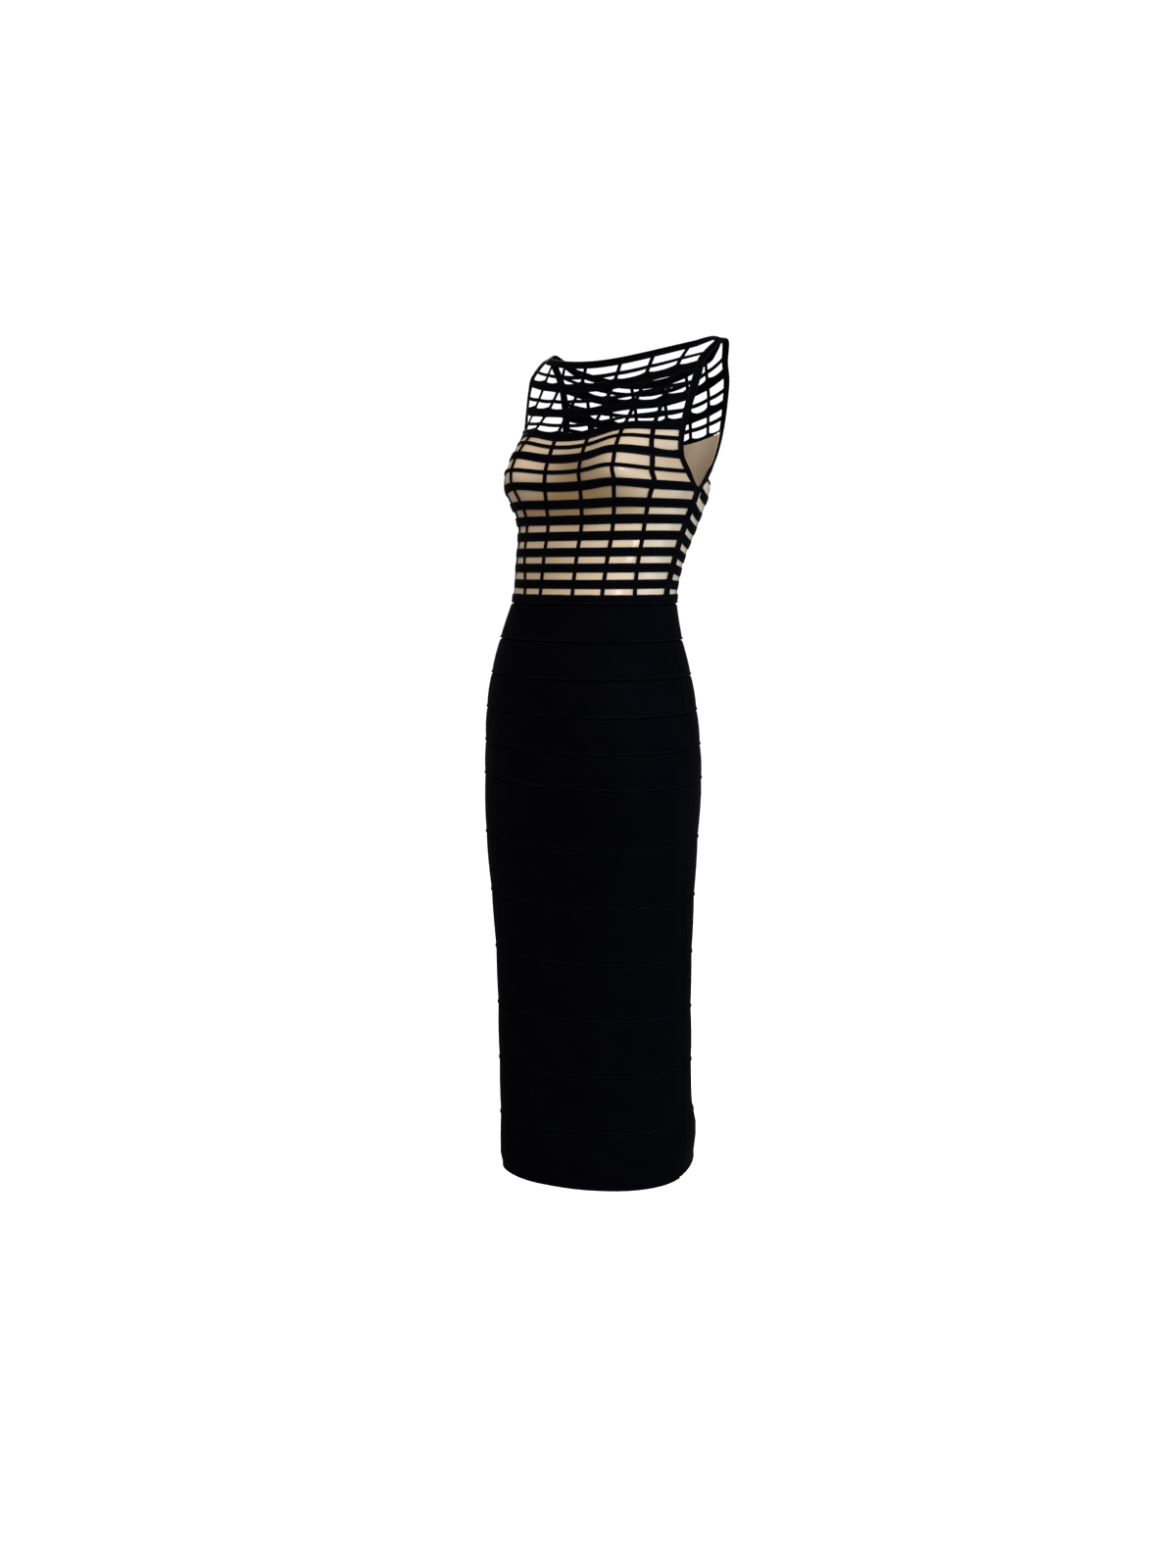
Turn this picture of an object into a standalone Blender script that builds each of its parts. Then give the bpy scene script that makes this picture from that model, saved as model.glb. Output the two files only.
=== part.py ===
"""Sleeveless bodycon midi dress in bandage knit, filled out as worn and hollow inside.

Metres, +Z up. The front faces -Y and the wearer's left is +X. The origin is where the wearer holds the
dress up: midway between the two shoulder ridges. Run with blender --background --python part.py.

Every piece is cut from one set of body sections, a front half and a back half that meet at the side seams.
A piece is a cloth wall between two distances outside those sections, so that layers never cross.
"""
import math
from collections import namedtuple
from functools import lru_cache

import bmesh
import bpy
from mathutils import Vector

MM = 0.001

# Cloth walls: distance of a wall's inner and outer face outside the sections below, in mm. The sections are
# the outer face of the plain cloth, so inner faces are negative.
Layer = namedtuple("Layer", "inner outer")
LINING = Layer(-4.2, -3.2)
LATTICE = Layer(-2.0, 0.0)
BINDING = Layer(-2.0, 0.4)
WAIST = Layer(-2.0, 0.8)
SKIRT = Layer(-2.2, 0.0)
SEAM_GAP = 0.3

# Widths of the cut strips, in mm.
WIDE_BAND = 11.6
THIN_BAND = 5.4
STRAP = 5.6
NECK_BINDING = 9.6
ARMHOLE_BINDING = 10.0
SIDE_STRIP = 10.0
BAND_WIDTHS = {"wide": WIDE_BAND, "thin": THIN_BAND}

# Body sections, in mm, from the shoulder line down. Each half section runs from its centre line to the side.
# edge_z is the height at the side and the level's name. Above the underarm the side is the armhole edge.
# turn is the angle, in degrees, that the half section turns through: 90 closes at the side seam.
# swing is how far the left side stands behind the middle, and the right side before it, with one leg forward.
# sway is how far the whole section stands to the left, with the weight on one leg.
Section = namedtuple("Section", "edge_z centre_z centre_y edge_x edge_y turn swing sway", defaults=(90, 0, 0))
FRONT_SECTIONS = (
    Section(0, -26, -71, 140, 0, 45),
    Section(-30, -53.5, -80, 138, -37.5, 52),
    Section(-55, -73.5, -92, 135.5, -49.5, 56),
    Section(-93, -108, -119, 130, -61, 62),
    Section(-115, -125.5, -133, 126, -66, 66),
    Section(-148, -151, -147, 128, -71, 72),
    Section(-170, -169.5, -152, 137, -69.5, 80),
    Section(-187, -186, -150.5, 143, -64, sway=1),
    Section(-231, -231, -147, 125.5, -70.5, sway=4),
    Section(-281, -281, -159.5, 116, -78, sway=1),
    Section(-330, -330, -172, 111, -83, sway=-1.5),
    Section(-375, -375, -188, 122.5, -86, sway=-1.5),
    Section(-422, -422, -204, 133, -87, sway=-0.5),
    Section(-468, -468, -208, 141, -91),
    Section(-515, -515, -206, 145.5, -92),
    Section(-560, -560, -202, 146, -95, swing=3),
    Section(-632, -632, -190, 138, -96, swing=18),
    Section(-709, -709, -180, 130, -91, swing=27),
    Section(-784, -784, -172, 125, -87, swing=32),
    Section(-859, -859, -166, 121, -85, swing=37),
    Section(-933, -933, -163, 118, -84, swing=41),
    Section(-1010, -1010, -160, 116, -85, swing=43),
    Section(-1112.5, -1113, -163, 117, -86, swing=41),
)
BACK_SECTIONS = (
    Section(0, -40, 34, 140, 0, 45),
    Section(-30, -62, 41, 136, 14, 38),
    Section(-55, -80, 46, 134.5, 21, 34),
    Section(-93, -110, 50, 131, 20, 36),
    Section(-115, -128, 51, 130.5, 15, 40),
    Section(-148, -155, 49, 133, -6, 54),
    Section(-170, -173, 44, 137, -34, 72),
    Section(-187, -187, 38, 143, -64, sway=1),
    Section(-231, -231, 28, 125.5, -70.5, sway=4),
    Section(-281, -281, 3, 116, -78, sway=1),
    Section(-330, -330, 0, 111, -83, sway=-1.5),
    Section(-375, -375, -4, 122.5, -86, sway=-1.5),
    Section(-422, -422, 8, 133, -87, sway=-0.5),
    Section(-468, -468, 18, 141, -91),
    Section(-515, -515, 25, 145.5, -92),
    Section(-560, -560, 28, 146, -95, swing=3),
    Section(-632, -632, 12, 138, -96, swing=18),
    Section(-709, -709, 0, 130, -91, swing=27),
    Section(-784, -784, -6, 125, -87, swing=32),
    Section(-859, -859, -9, 121, -85, swing=37),
    Section(-933, -933, -4, 118, -84, swing=41),
    Section(-1010, -1002, 4, 116, -85, swing=43),
    Section(-1112.5, -1076, 30, 117, -86, swing=41),
)
SECTIONS = {"front": FRONT_SECTIONS, "back": BACK_SECTIONS}
SECTION_POWER = 2.3       # 2 is an ellipse; a little more gives the fuller section of a torso
SHOULDER_Z = 0
UNDERARM_Z = -187
WAIST_Z = -330

# Cups, shaped into the front: one mound to each side of the centre front, in mm.
Cup = namedtuple("Cup", "x z depth half_width rise drop")
CUP = Cup(x=82, z=-170, depth=22, half_width=37, rise=44, drop=25)
BAND_LIFT = Cup(x=76, z=-137, depth=8.5, half_width=38, rise=30, drop=50)

# Lattice: bands from the neck down, each named by its level at the side, and three straps to each side of the
# centre line, by their share of the way to the side at each level, from the wearer's right to the left. They
# spread over the bust, and as worn those of the front have crept a little to the left below it.
Band = namedtuple("Band", "kind level")
BANDS = (
    Band("thin", -21), Band("wide", -38.5), Band("thin", -58.5), Band("wide", -77), Band("thin", -94),
    Band("wide", -114.5), Band("thin", -131), Band("wide", -149.7), Band("thin", -169.3),
    Band("wide", -187.8), Band("wide", -208.6), Band("wide", -227), Band("wide", -246.2),
    Band("wide", -266), Band("wide", -285.3), Band("wide", -305.2),
)
Straps = namedtuple("Straps", "level shares")
FRONT_STRAPS = (
    Straps(0, (-0.62, -0.395, -0.14, 0.19, 0.455, 0.73)),
    Straps(-47, (-0.66, -0.43, -0.175, 0.177, 0.48, 0.74)),
    Straps(-85, (-0.69, -0.448, -0.178, 0.173, 0.476, 0.722)),
    Straps(-110, (-0.70, -0.456, -0.169, 0.17, 0.489, 0.728)),
    Straps(-140, (-0.715, -0.47, -0.16, 0.158, 0.495, 0.744)),
    Straps(-153, (-0.70, -0.462, -0.157, 0.152, 0.493, 0.747)),
    Straps(-163, (-0.69, -0.445, -0.154, 0.147, 0.485, 0.728)),
    Straps(-178, (-0.675, -0.43, -0.156, 0.133, 0.446, 0.683)),
    Straps(-198, (-0.65, -0.46, -0.176, 0.126, 0.397, 0.638)),
    Straps(-217, (-0.635, -0.465, -0.2, 0.122, 0.386, 0.627)),
    Straps(-257, (-0.65, -0.472, -0.199, 0.13, 0.399, 0.642)),
    Straps(-275, (-0.64, -0.439, -0.184, 0.141, 0.404, 0.647)),
    Straps(-296, (-0.65, -0.391, -0.169, 0.152, 0.41, 0.658)),
    Straps(-318, (-0.68, -0.35, -0.152, 0.165, 0.414, 0.672)),
)
BACK_STRAPS = (
    Straps(0, (-0.68, -0.43, -0.165, 0.165, 0.43, 0.68)),
    Straps(-85, (-0.71, -0.465, -0.175, 0.175, 0.465, 0.71)),
    Straps(-150, (-0.71, -0.465, -0.16, 0.16, 0.465, 0.71)),
    Straps(-217, (-0.64, -0.425, -0.16, 0.16, 0.425, 0.64)),
    Straps(-318, (-0.67, -0.40, -0.16, 0.16, 0.40, 0.67)),
)
STRAPS = {"front": FRONT_STRAPS, "back": BACK_STRAPS}
# The back's bands fall away behind the side seams: how far each has sunk below its level at the side, in mm, once
# it has run this far from the seam.
Droop = namedtuple("Droop", "level fall")
BACK_DROOP = (
    Droop(0, 0), Droop(-114.5, 0), Droop(-131, 2), Droop(-150, 6), Droop(-170, 11), Droop(-188, 14.5),
    Droop(-209, 14), Droop(-246, 11), Droop(-285, 6), Droop(-305, 2.5), Droop(-318, 0),
)
DROOP_RUN = 45.0
COLUMN_STEPS = (3, 2, 2, 2, 2, 2, 3)    # faces across each column between straps
LINING_TOP_BAND = 5                     # the lining's top edge lies under this band
UNDERBUST_LEVELS = (-198, -218.5)       # extra rows of the lining, where it curves most

# Waist band and the skirt's bandage strips, in mm.
WAIST_BAND_TOP = -318
UPPER_STRIPS = 5
UPPER_STRIP = 45.0
LOWER_STRIPS = 7
LOWER_STRIP = 79.6
SKIRT_STEPS = 16
STRIP_CROWN = 0.9         # how far a strip stands out between its seams
STRIP_LIP = 0.5           # how far its lower edge stands over the next strip

# Shoulder ridge, where the two bindings lie side by side over the shoulder, in mm.
RIDGE_NECK = Vector((128.0, 0.0, -1.5))
RIDGE_ARM = Vector((138.2, 0.0, -4.0))
RIDGE_NORMAL = Vector((0.25, 0.0, 1.0))
NECK_RIDGE_SHARE = 0.76   # share of the way to the side where the neck binding leaves for the ridge
NECK_FACES = 60
ARMHOLE_FACES = 44

BLACK_KNIT = ("black_bandage_knit", (0.0045, 0.0048, 0.0062, 1.0), 0.72)
NUDE_MESH = ("nude_mesh", (0.62, 0.42, 0.27, 1.0), 0.6)

CURVE_SAMPLES = 40
PROBE = 1.0               # step used to read a slope off the surface, in mm


def clear_scene():
    """Remove every object of the open file."""
    for item in list(bpy.data.objects):
        bpy.data.objects.remove(item, do_unlink=True)


def cloth_material(name, colour, roughness):
    """Return the named cloth material, making it the first time."""
    material = bpy.data.materials.get(name)
    if material is None:
        material = bpy.data.materials.new(name)
        material.use_nodes = True
        shader = material.node_tree.nodes["Principled BSDF"]
        shader.inputs["Base Color"].default_value = colour
        shader.inputs["Roughness"].default_value = roughness
        shader.inputs["Metallic"].default_value = 0.0
        material.diffuse_color = colour
    return material


def smooth_between(knots, values, at):
    """Read a value off the smooth curve through the knots, which run downwards."""
    last = len(knots) - 1
    index = 0
    while index < last - 1 and at < knots[index + 1]:
        index += 1

    def slope(i):
        low, high = max(i - 1, 0), min(i + 1, last)
        return (values[high] - values[low]) / (knots[high] - knots[low])

    span = knots[index + 1] - knots[index]
    t = (at - knots[index]) / span
    square, cube = t * t, t * t * t
    return (
        (2 * cube - 3 * square + 1) * values[index]
        + (cube - 2 * square + t) * span * slope(index)
        + (3 * square - 2 * cube) * values[index + 1]
        + (cube - square) * span * slope(index + 1)
    )


@lru_cache(maxsize=None)
def section_at(half, level):
    """Return the half section at any level, in mm."""
    table = SECTIONS[half]
    knots = [row.edge_z for row in table]
    values = {
        column: smooth_between(knots, [getattr(row, column) for row in table], level)
        for column in Section._fields[1:]
    }
    values["turn"] = min(values["turn"], 90.0)
    if level < UNDERARM_Z:
        seam = [row for row in table if row.edge_z <= UNDERARM_Z]
        values["edge_y"] = smooth_between([row.edge_z for row in seam], [row.edge_y for row in seam], level)
    return Section(level, **values)


def round_corner(angle):
    """Return the sine and cosine of a superellipse at an angle."""
    sine, cosine = math.sin(angle), math.cos(angle)
    size = (abs(sine) ** SECTION_POWER + abs(cosine) ** SECTION_POWER) ** (1 / SECTION_POWER)
    return sine / size, cosine / size


@lru_cache(maxsize=None)
def section_curve(half, level):
    """Return the half section's points from centre to side, with the length run at each, in mm."""
    section = section_at(half, level)
    end_sine, end_cosine = round_corner(math.radians(section.turn))
    points, lengths = [], [0.0]
    for i in range(CURVE_SAMPLES + 1):
        sine, cosine = round_corner(math.radians(section.turn) * i / CURVE_SAMPLES)
        across = sine / end_sine
        away = (1 - cosine) / (1 - end_cosine)
        points.append(Vector((
            section.edge_x * across,
            section.centre_y + (section.edge_y - section.centre_y) * away,
            section.centre_z + (section.edge_z - section.centre_z) * across * across,
        )))
        if i:
            lengths.append(lengths[-1] + (points[-1] - points[-2]).length)
    return points, lengths


def half_girth(half, level):
    """Return the length from the centre line to the side, in mm."""
    return section_curve(half, level)[1][-1]


def mound(shape, x, z):
    """Return how much of a mound is felt at a point of the front."""
    reach = shape.rise if z > shape.z else shape.drop
    return shape.depth * math.exp(-((abs(x) - shape.x) / shape.half_width) ** 2 - ((z - shape.z) / reach) ** 2)


def body_point(half, share, level):
    """Return the point of a half section at a share, -1 to 1, of the way to the side, in mm."""
    points, lengths = section_curve(half, level)
    run = abs(share) * lengths[-1]
    index = 0
    while index < CURVE_SAMPLES - 1 and lengths[index + 1] < run:
        index += 1
    part = (run - lengths[index]) / (lengths[index + 1] - lengths[index])
    point = points[index].lerp(points[index + 1], part)
    if half == "front":
        point.y -= mound(CUP, point.x, point.z)
        point.z += mound(BAND_LIFT, point.x, point.z)
    section = section_at(half, level)
    point.x = math.copysign(point.x, share)
    point.y += section.swing * point.x / section.edge_x
    point.x += section.sway
    return point


def body_normal(half, share, level):
    """Return the direction that points out of the body at a point of a half section."""
    step = PROBE / half_girth(half, level)
    low_level = max(level - PROBE, SECTIONS[half][-1].edge_z)
    along = body_point(half, min(share + step, 1.0), level) - body_point(half, max(share - step, -1.0), level)
    up = body_point(half, share, low_level + 2 * PROBE) - body_point(half, share, low_level)
    normal = along.cross(up).normalized()
    return normal if half == "front" else -normal


@lru_cache(maxsize=None)
def cloth_point(half, share, level, out):
    """Return a point that lies a distance outside a half section, in mm."""
    return body_point(half, share, level) + body_normal(half, share, level) * out


def level_below(half, share, level, distance):
    """Return the level that lies a distance down the cloth from a level, in mm."""
    per_level = (body_point(half, share, level) - body_point(half, share, level - PROBE)).length / PROBE
    return level - distance / per_level


def armhole_share(half, level, width):
    """Return the share of the line that runs a width inside the armhole's edge, in mm."""
    level = max(level, UNDERARM_Z + ARMHOLE_BINDING)
    edge = (body_point(half, 1.0, level + 2) - body_point(half, 1.0, level - 2)).normalized()
    row = (body_point(half, 1.0, level) - body_point(half, 0.97, level)).normalized()
    return 1 - width / edge.cross(row).length / half_girth(half, level)


def lattice_end(half, level):
    """Return the share at which a lattice row meets the armhole binding or the side strip."""
    if level < UNDERARM_Z - ARMHOLE_BINDING:
        return 1 - (SIDE_STRIP / 2 + 2 * SEAM_GAP) / half_girth(half, level)
    return armhole_share(half, level, ARMHOLE_BINDING + 4 * SEAM_GAP)


def lining_end(half, level):
    """Return the share at which the lining ends, at the armhole binding or at the side seam."""
    if level < UNDERARM_Z - 1.5 * ARMHOLE_BINDING:
        return 1 - SEAM_GAP / 2 / half_girth(half, level)
    return armhole_share(half, level, ARMHOLE_BINDING + 4 * SEAM_GAP)


def link(name, builder, material):
    """Make an object from mesh-building steps, with its faces turned outwards."""
    work = bmesh.new()
    builder(work)
    bmesh.ops.recalc_face_normals(work, faces=work.faces)
    mesh = bpy.data.meshes.new(name)
    work.to_mesh(mesh)
    work.free()
    mesh.shade_smooth()
    mesh.set_sharp_from_angle(angle=math.radians(40))
    mesh.materials.append(cloth_material(*material))
    piece = bpy.data.objects.new(name, mesh)
    bpy.context.scene.collection.objects.link(piece)
    return piece


def wall(name, outer, inner, material, kept=None):
    """Make a cloth wall between two equal grids of points in mm; kept says which cells are cloth."""
    rows, columns = len(outer), len(outer[0])

    def is_cloth(row, column):
        inside = 0 <= row < rows - 1 and 0 <= column < columns - 1
        return inside and (kept is None or kept(row, column))

    def build(work):
        made = {}

        def vertex(side, row, column):
            key = (side, row, column)
            if key not in made:
                made[key] = work.verts.new((outer, inner)[side][row][column] * MM)
            return made[key]

        def edge_face(start, end):
            work.faces.new((vertex(0, *start), vertex(0, *end), vertex(1, *end), vertex(1, *start)))

        for row in range(rows - 1):
            for column in range(columns - 1):
                if not is_cloth(row, column):
                    continue
                corners = ((row, column), (row, column + 1), (row + 1, column + 1), (row + 1, column))
                work.faces.new([vertex(0, *corner) for corner in corners])
                work.faces.new([vertex(1, *corner) for corner in reversed(corners)])
                neighbours = ((row - 1, column), (row, column + 1), (row + 1, column), (row, column - 1))
                for turn, neighbour in enumerate(neighbours):
                    if not is_cloth(*neighbour):
                        edge_face(corners[turn], corners[(turn + 1) % 4])

    return link(name, build, material)


def column_shares(half, level, end):
    """Return the shares of a lattice row's grid lines, and which columns between them are straps."""
    half_strap = STRAP / 2 / half_girth(half, level)
    knots = [row.level for row in STRAPS[half]]
    middles = [smooth_between(knots, column, level) for column in zip(*(row.shares for row in STRAPS[half]))]
    shares, straps = [], []
    starts = [-end] + [share + half_strap for share in middles]
    ends = [share - half_strap for share in middles] + [end]
    for steps, start, stop in zip(COLUMN_STEPS, starts, ends):
        shares += [start + (stop - start) * step / steps for step in range(steps + 1)]
        straps += [False] * steps + [True]
    return shares, straps[:-1]


def drooped(half, share, level):
    """Return the level a band of the lattice has reached at a share, given its level at the side."""
    if half == "front":
        return level
    fall = smooth_between([row.level for row in BACK_DROOP], [row.fall for row in BACK_DROOP], level)
    left = 1 - min((1 - abs(share)) * half_girth(half, level) / DROOP_RUN, 1)
    return level - fall * (1 - left * left)


def band_rows(bands):
    """Return the grid rows along the edges of bands, as (level, drop down the cloth)."""
    rows = []
    for band in bands:
        half_width = BAND_WIDTHS[band.kind] / 2
        rows += [(band.level, -half_width), (band.level, half_width)]
    return rows


def yoke_lattice(half):
    """Make the open lattice from the neck binding down to the band over the lining's top edge."""
    rows = [(SHOULDER_Z, NECK_BINDING + 8 * SEAM_GAP)] + band_rows(BANDS[:LINING_TOP_BAND + 1])
    return lattice(f"yoke_lattice_{half}", half, rows)


def bodice_lattice(half):
    """Make the lattice that lies on the lining, down to the waist band."""
    seam = BANDS[LINING_TOP_BAND]
    start = (seam.level, BAND_WIDTHS[seam.kind] / 2 + SEAM_GAP)
    rows = [start] + band_rows(BANDS[LINING_TOP_BAND + 1:]) + [(WAIST_BAND_TOP, -SEAM_GAP)]
    return lattice(f"bodice_lattice_{half}", half, rows)


def lattice(name, half, rows):
    """Make bands and straps cut from one wall, with open cells; rows run from a row of straps down."""
    grids = []
    for layer in (LATTICE.outer, LATTICE.inner):
        grid = []
        for level, drop in rows:
            shares, straps = column_shares(half, level, lattice_end(half, level))
            levels = [level_below(half, share, drooped(half, share, level), drop) for share in shares]
            grid.append([cloth_point(half, share, at, layer) for share, at in zip(shares, levels)])
        grids.append(grid)

    def is_kept(row, column):
        return row % 2 == 1 or straps[column]

    return wall(name, grids[0], grids[1], BLACK_KNIT, is_kept)


def lining(half):
    """Make one half of the mesh lining, from under its top band down to the waist band."""
    levels = [band.level for band in BANDS[LINING_TOP_BAND:]] + list(UNDERBUST_LEVELS) + [WAIST_BAND_TOP - 4]
    levels.sort(reverse=True)
    grids = []
    for layer in (LINING.outer, LINING.inner):
        grid = []
        for level in levels:
            shares, _ = column_shares(half, level, lining_end(half, level))
            grid.append([cloth_point(half, share, level, layer) for share in shares])
        grids.append(grid)
    return wall(f"lining_{half}", grids[0], grids[1], NUDE_MESH)


def closed_curve(points, samples):
    """Return evenly spaced points on a smooth closed curve through the points."""
    count = len(points)
    fine = []
    for i in range(count):
        before, start, end, after = (points[(i + k) % count] for k in (-1, 0, 1, 2))
        for j in range(8):
            t = j / 8
            fine.append(0.5 * (
                2 * start + (end - before) * t
                + (2 * before - 5 * start + 4 * end - after) * t * t
                + (3 * start - before - 3 * end + after) * t * t * t
            ))
    lengths = [0.0]
    for i, point in enumerate(fine):
        lengths.append(lengths[-1] + (fine[(i + 1) % len(fine)] - point).length)
    result, index = [], 0
    for i in range(samples):
        run = lengths[-1] * i / samples
        while lengths[index + 1] < run:
            index += 1
        part = (run - lengths[index]) / (lengths[index + 1] - lengths[index])
        result.append(fine[index].lerp(fine[(index + 1) % len(fine)], part))
    return result


def binding(name, path, width, samples):
    """Make a closed band of binding along a path of (point, normal) pairs in mm."""
    both = [Vector((*point, 0, 0, 0)) + Vector((0, 0, 0, *normal)) for point, normal in path]
    stations = closed_curve(both, samples)
    places = [Vector(station[:3]) for station in stations]
    outs = [Vector(station[3:]).normalized() for station in stations]

    def build(work):
        rings = []
        for i, place in enumerate(places):
            along = (places[(i + 1) % samples] - places[i - 1]).normalized()
            out = (outs[i] - along * outs[i].dot(along)).normalized()
            across = out.cross(along)
            corners = ((-1, BINDING.inner), (1, BINDING.inner), (1, BINDING.outer), (-1, BINDING.outer))
            rings.append([
                work.verts.new((place + across * (width / 2 * side) + out * height) * MM)
                for side, height in corners
            ])
        for i, ring in enumerate(rings):
            following = rings[(i + 1) % samples]
            for k in range(4):
                work.faces.new((ring[k], ring[(k + 1) % 4], following[(k + 1) % 4], following[k]))

    return link(name, build, BLACK_KNIT)


def neck_binding():
    """Make the narrow band around the neck, over both shoulder ridges."""
    def station(half, share):
        level = level_below(half, share, SHOULDER_Z, NECK_BINDING / 2)
        return body_point(half, share, level), body_normal(half, share, level)

    shares = [NECK_RIDGE_SHARE * (i / 8 - 1) for i in range(17)]
    mirror = Vector((-1, 1, 1))
    path = [station("front", share) for share in shares]
    path.append((RIDGE_NECK, RIDGE_NORMAL.normalized()))
    path += [station("back", share) for share in reversed(shares)]
    path.append((RIDGE_NECK * mirror, (RIDGE_NORMAL * mirror).normalized()))
    return binding("neck_binding", path, NECK_BINDING, NECK_FACES)


def armhole_binding(name, side):
    """Make the band around one armhole; side is 1 for the wearer's left and -1 for the right."""
    mirror = Vector((side, 1, 1))

    def station(half, level):
        share = side * armhole_share(half, level, ARMHOLE_BINDING / 2)
        return body_point(half, share, level), body_normal(half, share, level)

    levels = (-28, -50, -75, -100, -125, -150, -168)
    bottom = UNDERARM_Z - ARMHOLE_BINDING / 2
    path = [station("front", level) for level in levels]
    path.append((body_point("front", side, bottom), body_normal("front", side * 0.999, bottom)))
    path += [station("back", level) for level in reversed(levels)]
    path.append((RIDGE_ARM * mirror, (RIDGE_NORMAL * mirror).normalized()))
    return binding(name, path, ARMHOLE_BINDING, ARMHOLE_FACES)


def side_strip(name, side):
    """Make the strip that covers one bodice side seam, from the armhole binding to the waist band."""
    top = UNDERARM_Z - ARMHOLE_BINDING - 5 * SEAM_GAP
    bottom = WAIST_BAND_TOP + SEAM_GAP
    steps = 8
    grids = []
    for layer in (LATTICE.outer, LATTICE.inner):
        grid = []
        for i in range(steps + 1):
            level = top + (bottom - top) * i / steps
            reach = 1 - SIDE_STRIP / 2 / half_girth("front", level)
            reach_back = 1 - SIDE_STRIP / 2 / half_girth("back", level)
            grid.append([
                cloth_point("front", side * reach, level, layer),
                (cloth_point("front", side, level, layer) + cloth_point("back", side, level, layer)) / 2,
                cloth_point("back", side * reach_back, level, layer),
            ])
        grids.append(grid)
    return wall(name, grids[0], grids[1], BLACK_KNIT)


def round_strip(name, half, levels, outers, inner):
    """Make a half-round strip of cloth through levels, with the outer face's distance given at each."""
    grids = [[], []]
    for level, outer in zip(levels, outers):
        end = 1 - SEAM_GAP / 2 / half_girth(half, level)
        shares = [end * (2 * i / SKIRT_STEPS - 1) for i in range(SKIRT_STEPS + 1)]
        for grid, layer in zip(grids, (outer, inner)):
            grid.append([cloth_point(half, share, level, layer) for share in shares])
    return wall(name, grids[0], grids[1], BLACK_KNIT)


def waist_band(half):
    """Make one half of the band at the waist seam."""
    levels = (WAIST_BAND_TOP, WAIST_Z)
    return round_strip(f"waist_band_{half}", half, levels, (WAIST.outer, WAIST.outer), WAIST.inner)


def skirt_strip(number, half, top, bottom):
    """Make one half of a bandage strip, crowned between its seams, with its lower edge a little proud."""
    levels = (top - SEAM_GAP / 2, (top + bottom) / 2, bottom + SEAM_GAP / 2)
    outers = (SKIRT.outer, SKIRT.outer + STRIP_CROWN, SKIRT.outer + STRIP_LIP)
    return round_strip(f"skirt_strip_{number:02d}_{half}", half, levels, outers, SKIRT.inner)


def skirt():
    """Make the skirt's strips from the waist down."""
    heights = [UPPER_STRIP] * UPPER_STRIPS + [LOWER_STRIP] * LOWER_STRIPS
    top = WAIST_Z - SEAM_GAP
    for number, height in enumerate(heights, start=1):
        bottom = top - height
        for half in SECTIONS:
            skirt_strip(number, half, top, bottom)
        top = bottom


def main():
    """Build the dress."""
    clear_scene()
    for half in SECTIONS:
        lining(half)
        yoke_lattice(half)
        bodice_lattice(half)
        waist_band(half)
    neck_binding()
    for name, side in (("left", 1), ("right", -1)):
        armhole_binding(f"armhole_binding_{name}", side)
        side_strip(f"side_strip_{name}", side)
    skirt()


main()
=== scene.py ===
"""Sleeveless bodycon midi dress in black bandage knit, dressed for a plain studio picture.

Metres, +Z up. The front faces -Y and the wearer's left is +X. Sizes whose names end in _mm or _MM are
millimetres, and so are the numbers in the tables. A level is the height of a row at the side seam. A share is
how far a point lies from the centre line towards the side, from -1 at the wearer's right to 1.
"""
from __future__ import annotations

import logging
import math
from dataclasses import dataclass, field
from enum import Enum
from typing import Iterator, Sequence

import bmesh
import bpy
import numpy as np
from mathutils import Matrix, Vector

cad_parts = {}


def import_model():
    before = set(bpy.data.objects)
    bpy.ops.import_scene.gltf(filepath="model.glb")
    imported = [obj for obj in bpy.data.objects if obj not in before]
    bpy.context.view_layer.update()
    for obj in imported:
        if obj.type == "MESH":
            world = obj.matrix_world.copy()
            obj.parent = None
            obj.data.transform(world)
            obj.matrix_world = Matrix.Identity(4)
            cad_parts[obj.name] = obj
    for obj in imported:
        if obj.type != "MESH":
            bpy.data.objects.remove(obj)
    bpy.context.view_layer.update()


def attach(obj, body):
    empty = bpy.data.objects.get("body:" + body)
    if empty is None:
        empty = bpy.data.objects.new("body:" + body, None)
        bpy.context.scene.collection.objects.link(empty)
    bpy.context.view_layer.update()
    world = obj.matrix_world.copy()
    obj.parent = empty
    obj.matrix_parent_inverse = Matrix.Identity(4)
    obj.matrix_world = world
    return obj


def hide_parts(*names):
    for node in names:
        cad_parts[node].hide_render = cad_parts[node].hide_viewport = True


LOG = logging.getLogger("bodycon_dress")
MM = 0.001
BODY = "root"
CLOTH_UV = "cloth"
# The point attribute holds how much paler the knit is painted, partly wear and partly painted highlight, and
# the lining's painted shade.
WEAR_AND_PAINTED_LIGHT_ATTRIBUTE = "edge"
MIRROR = np.array((-1.0, 1.0, 1.0))


class Half(Enum):
    """Which half of the body a piece lies on."""

    FRONT = "front"
    BACK = "back"


class BandKind(Enum):
    """The two widths of cross band in the lattice, in mm."""

    WIDE = 11.6
    THIN = 5.4


@dataclass(frozen=True)
class Section:
    """One row of the body's shape: a half section from the centre line to the side, in mm.

    turn is how far round the section goes before it meets the side, in degrees. swing brings the left side
    back and the right side forward by as much, and sway moves the row to the wearer's left.
    """

    edge_z: float
    centre_z: float
    centre_y: float
    edge_x: float
    edge_y: float
    turn: float = 90.0
    swing: float = 0.0
    sway: float = 0.0


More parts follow.
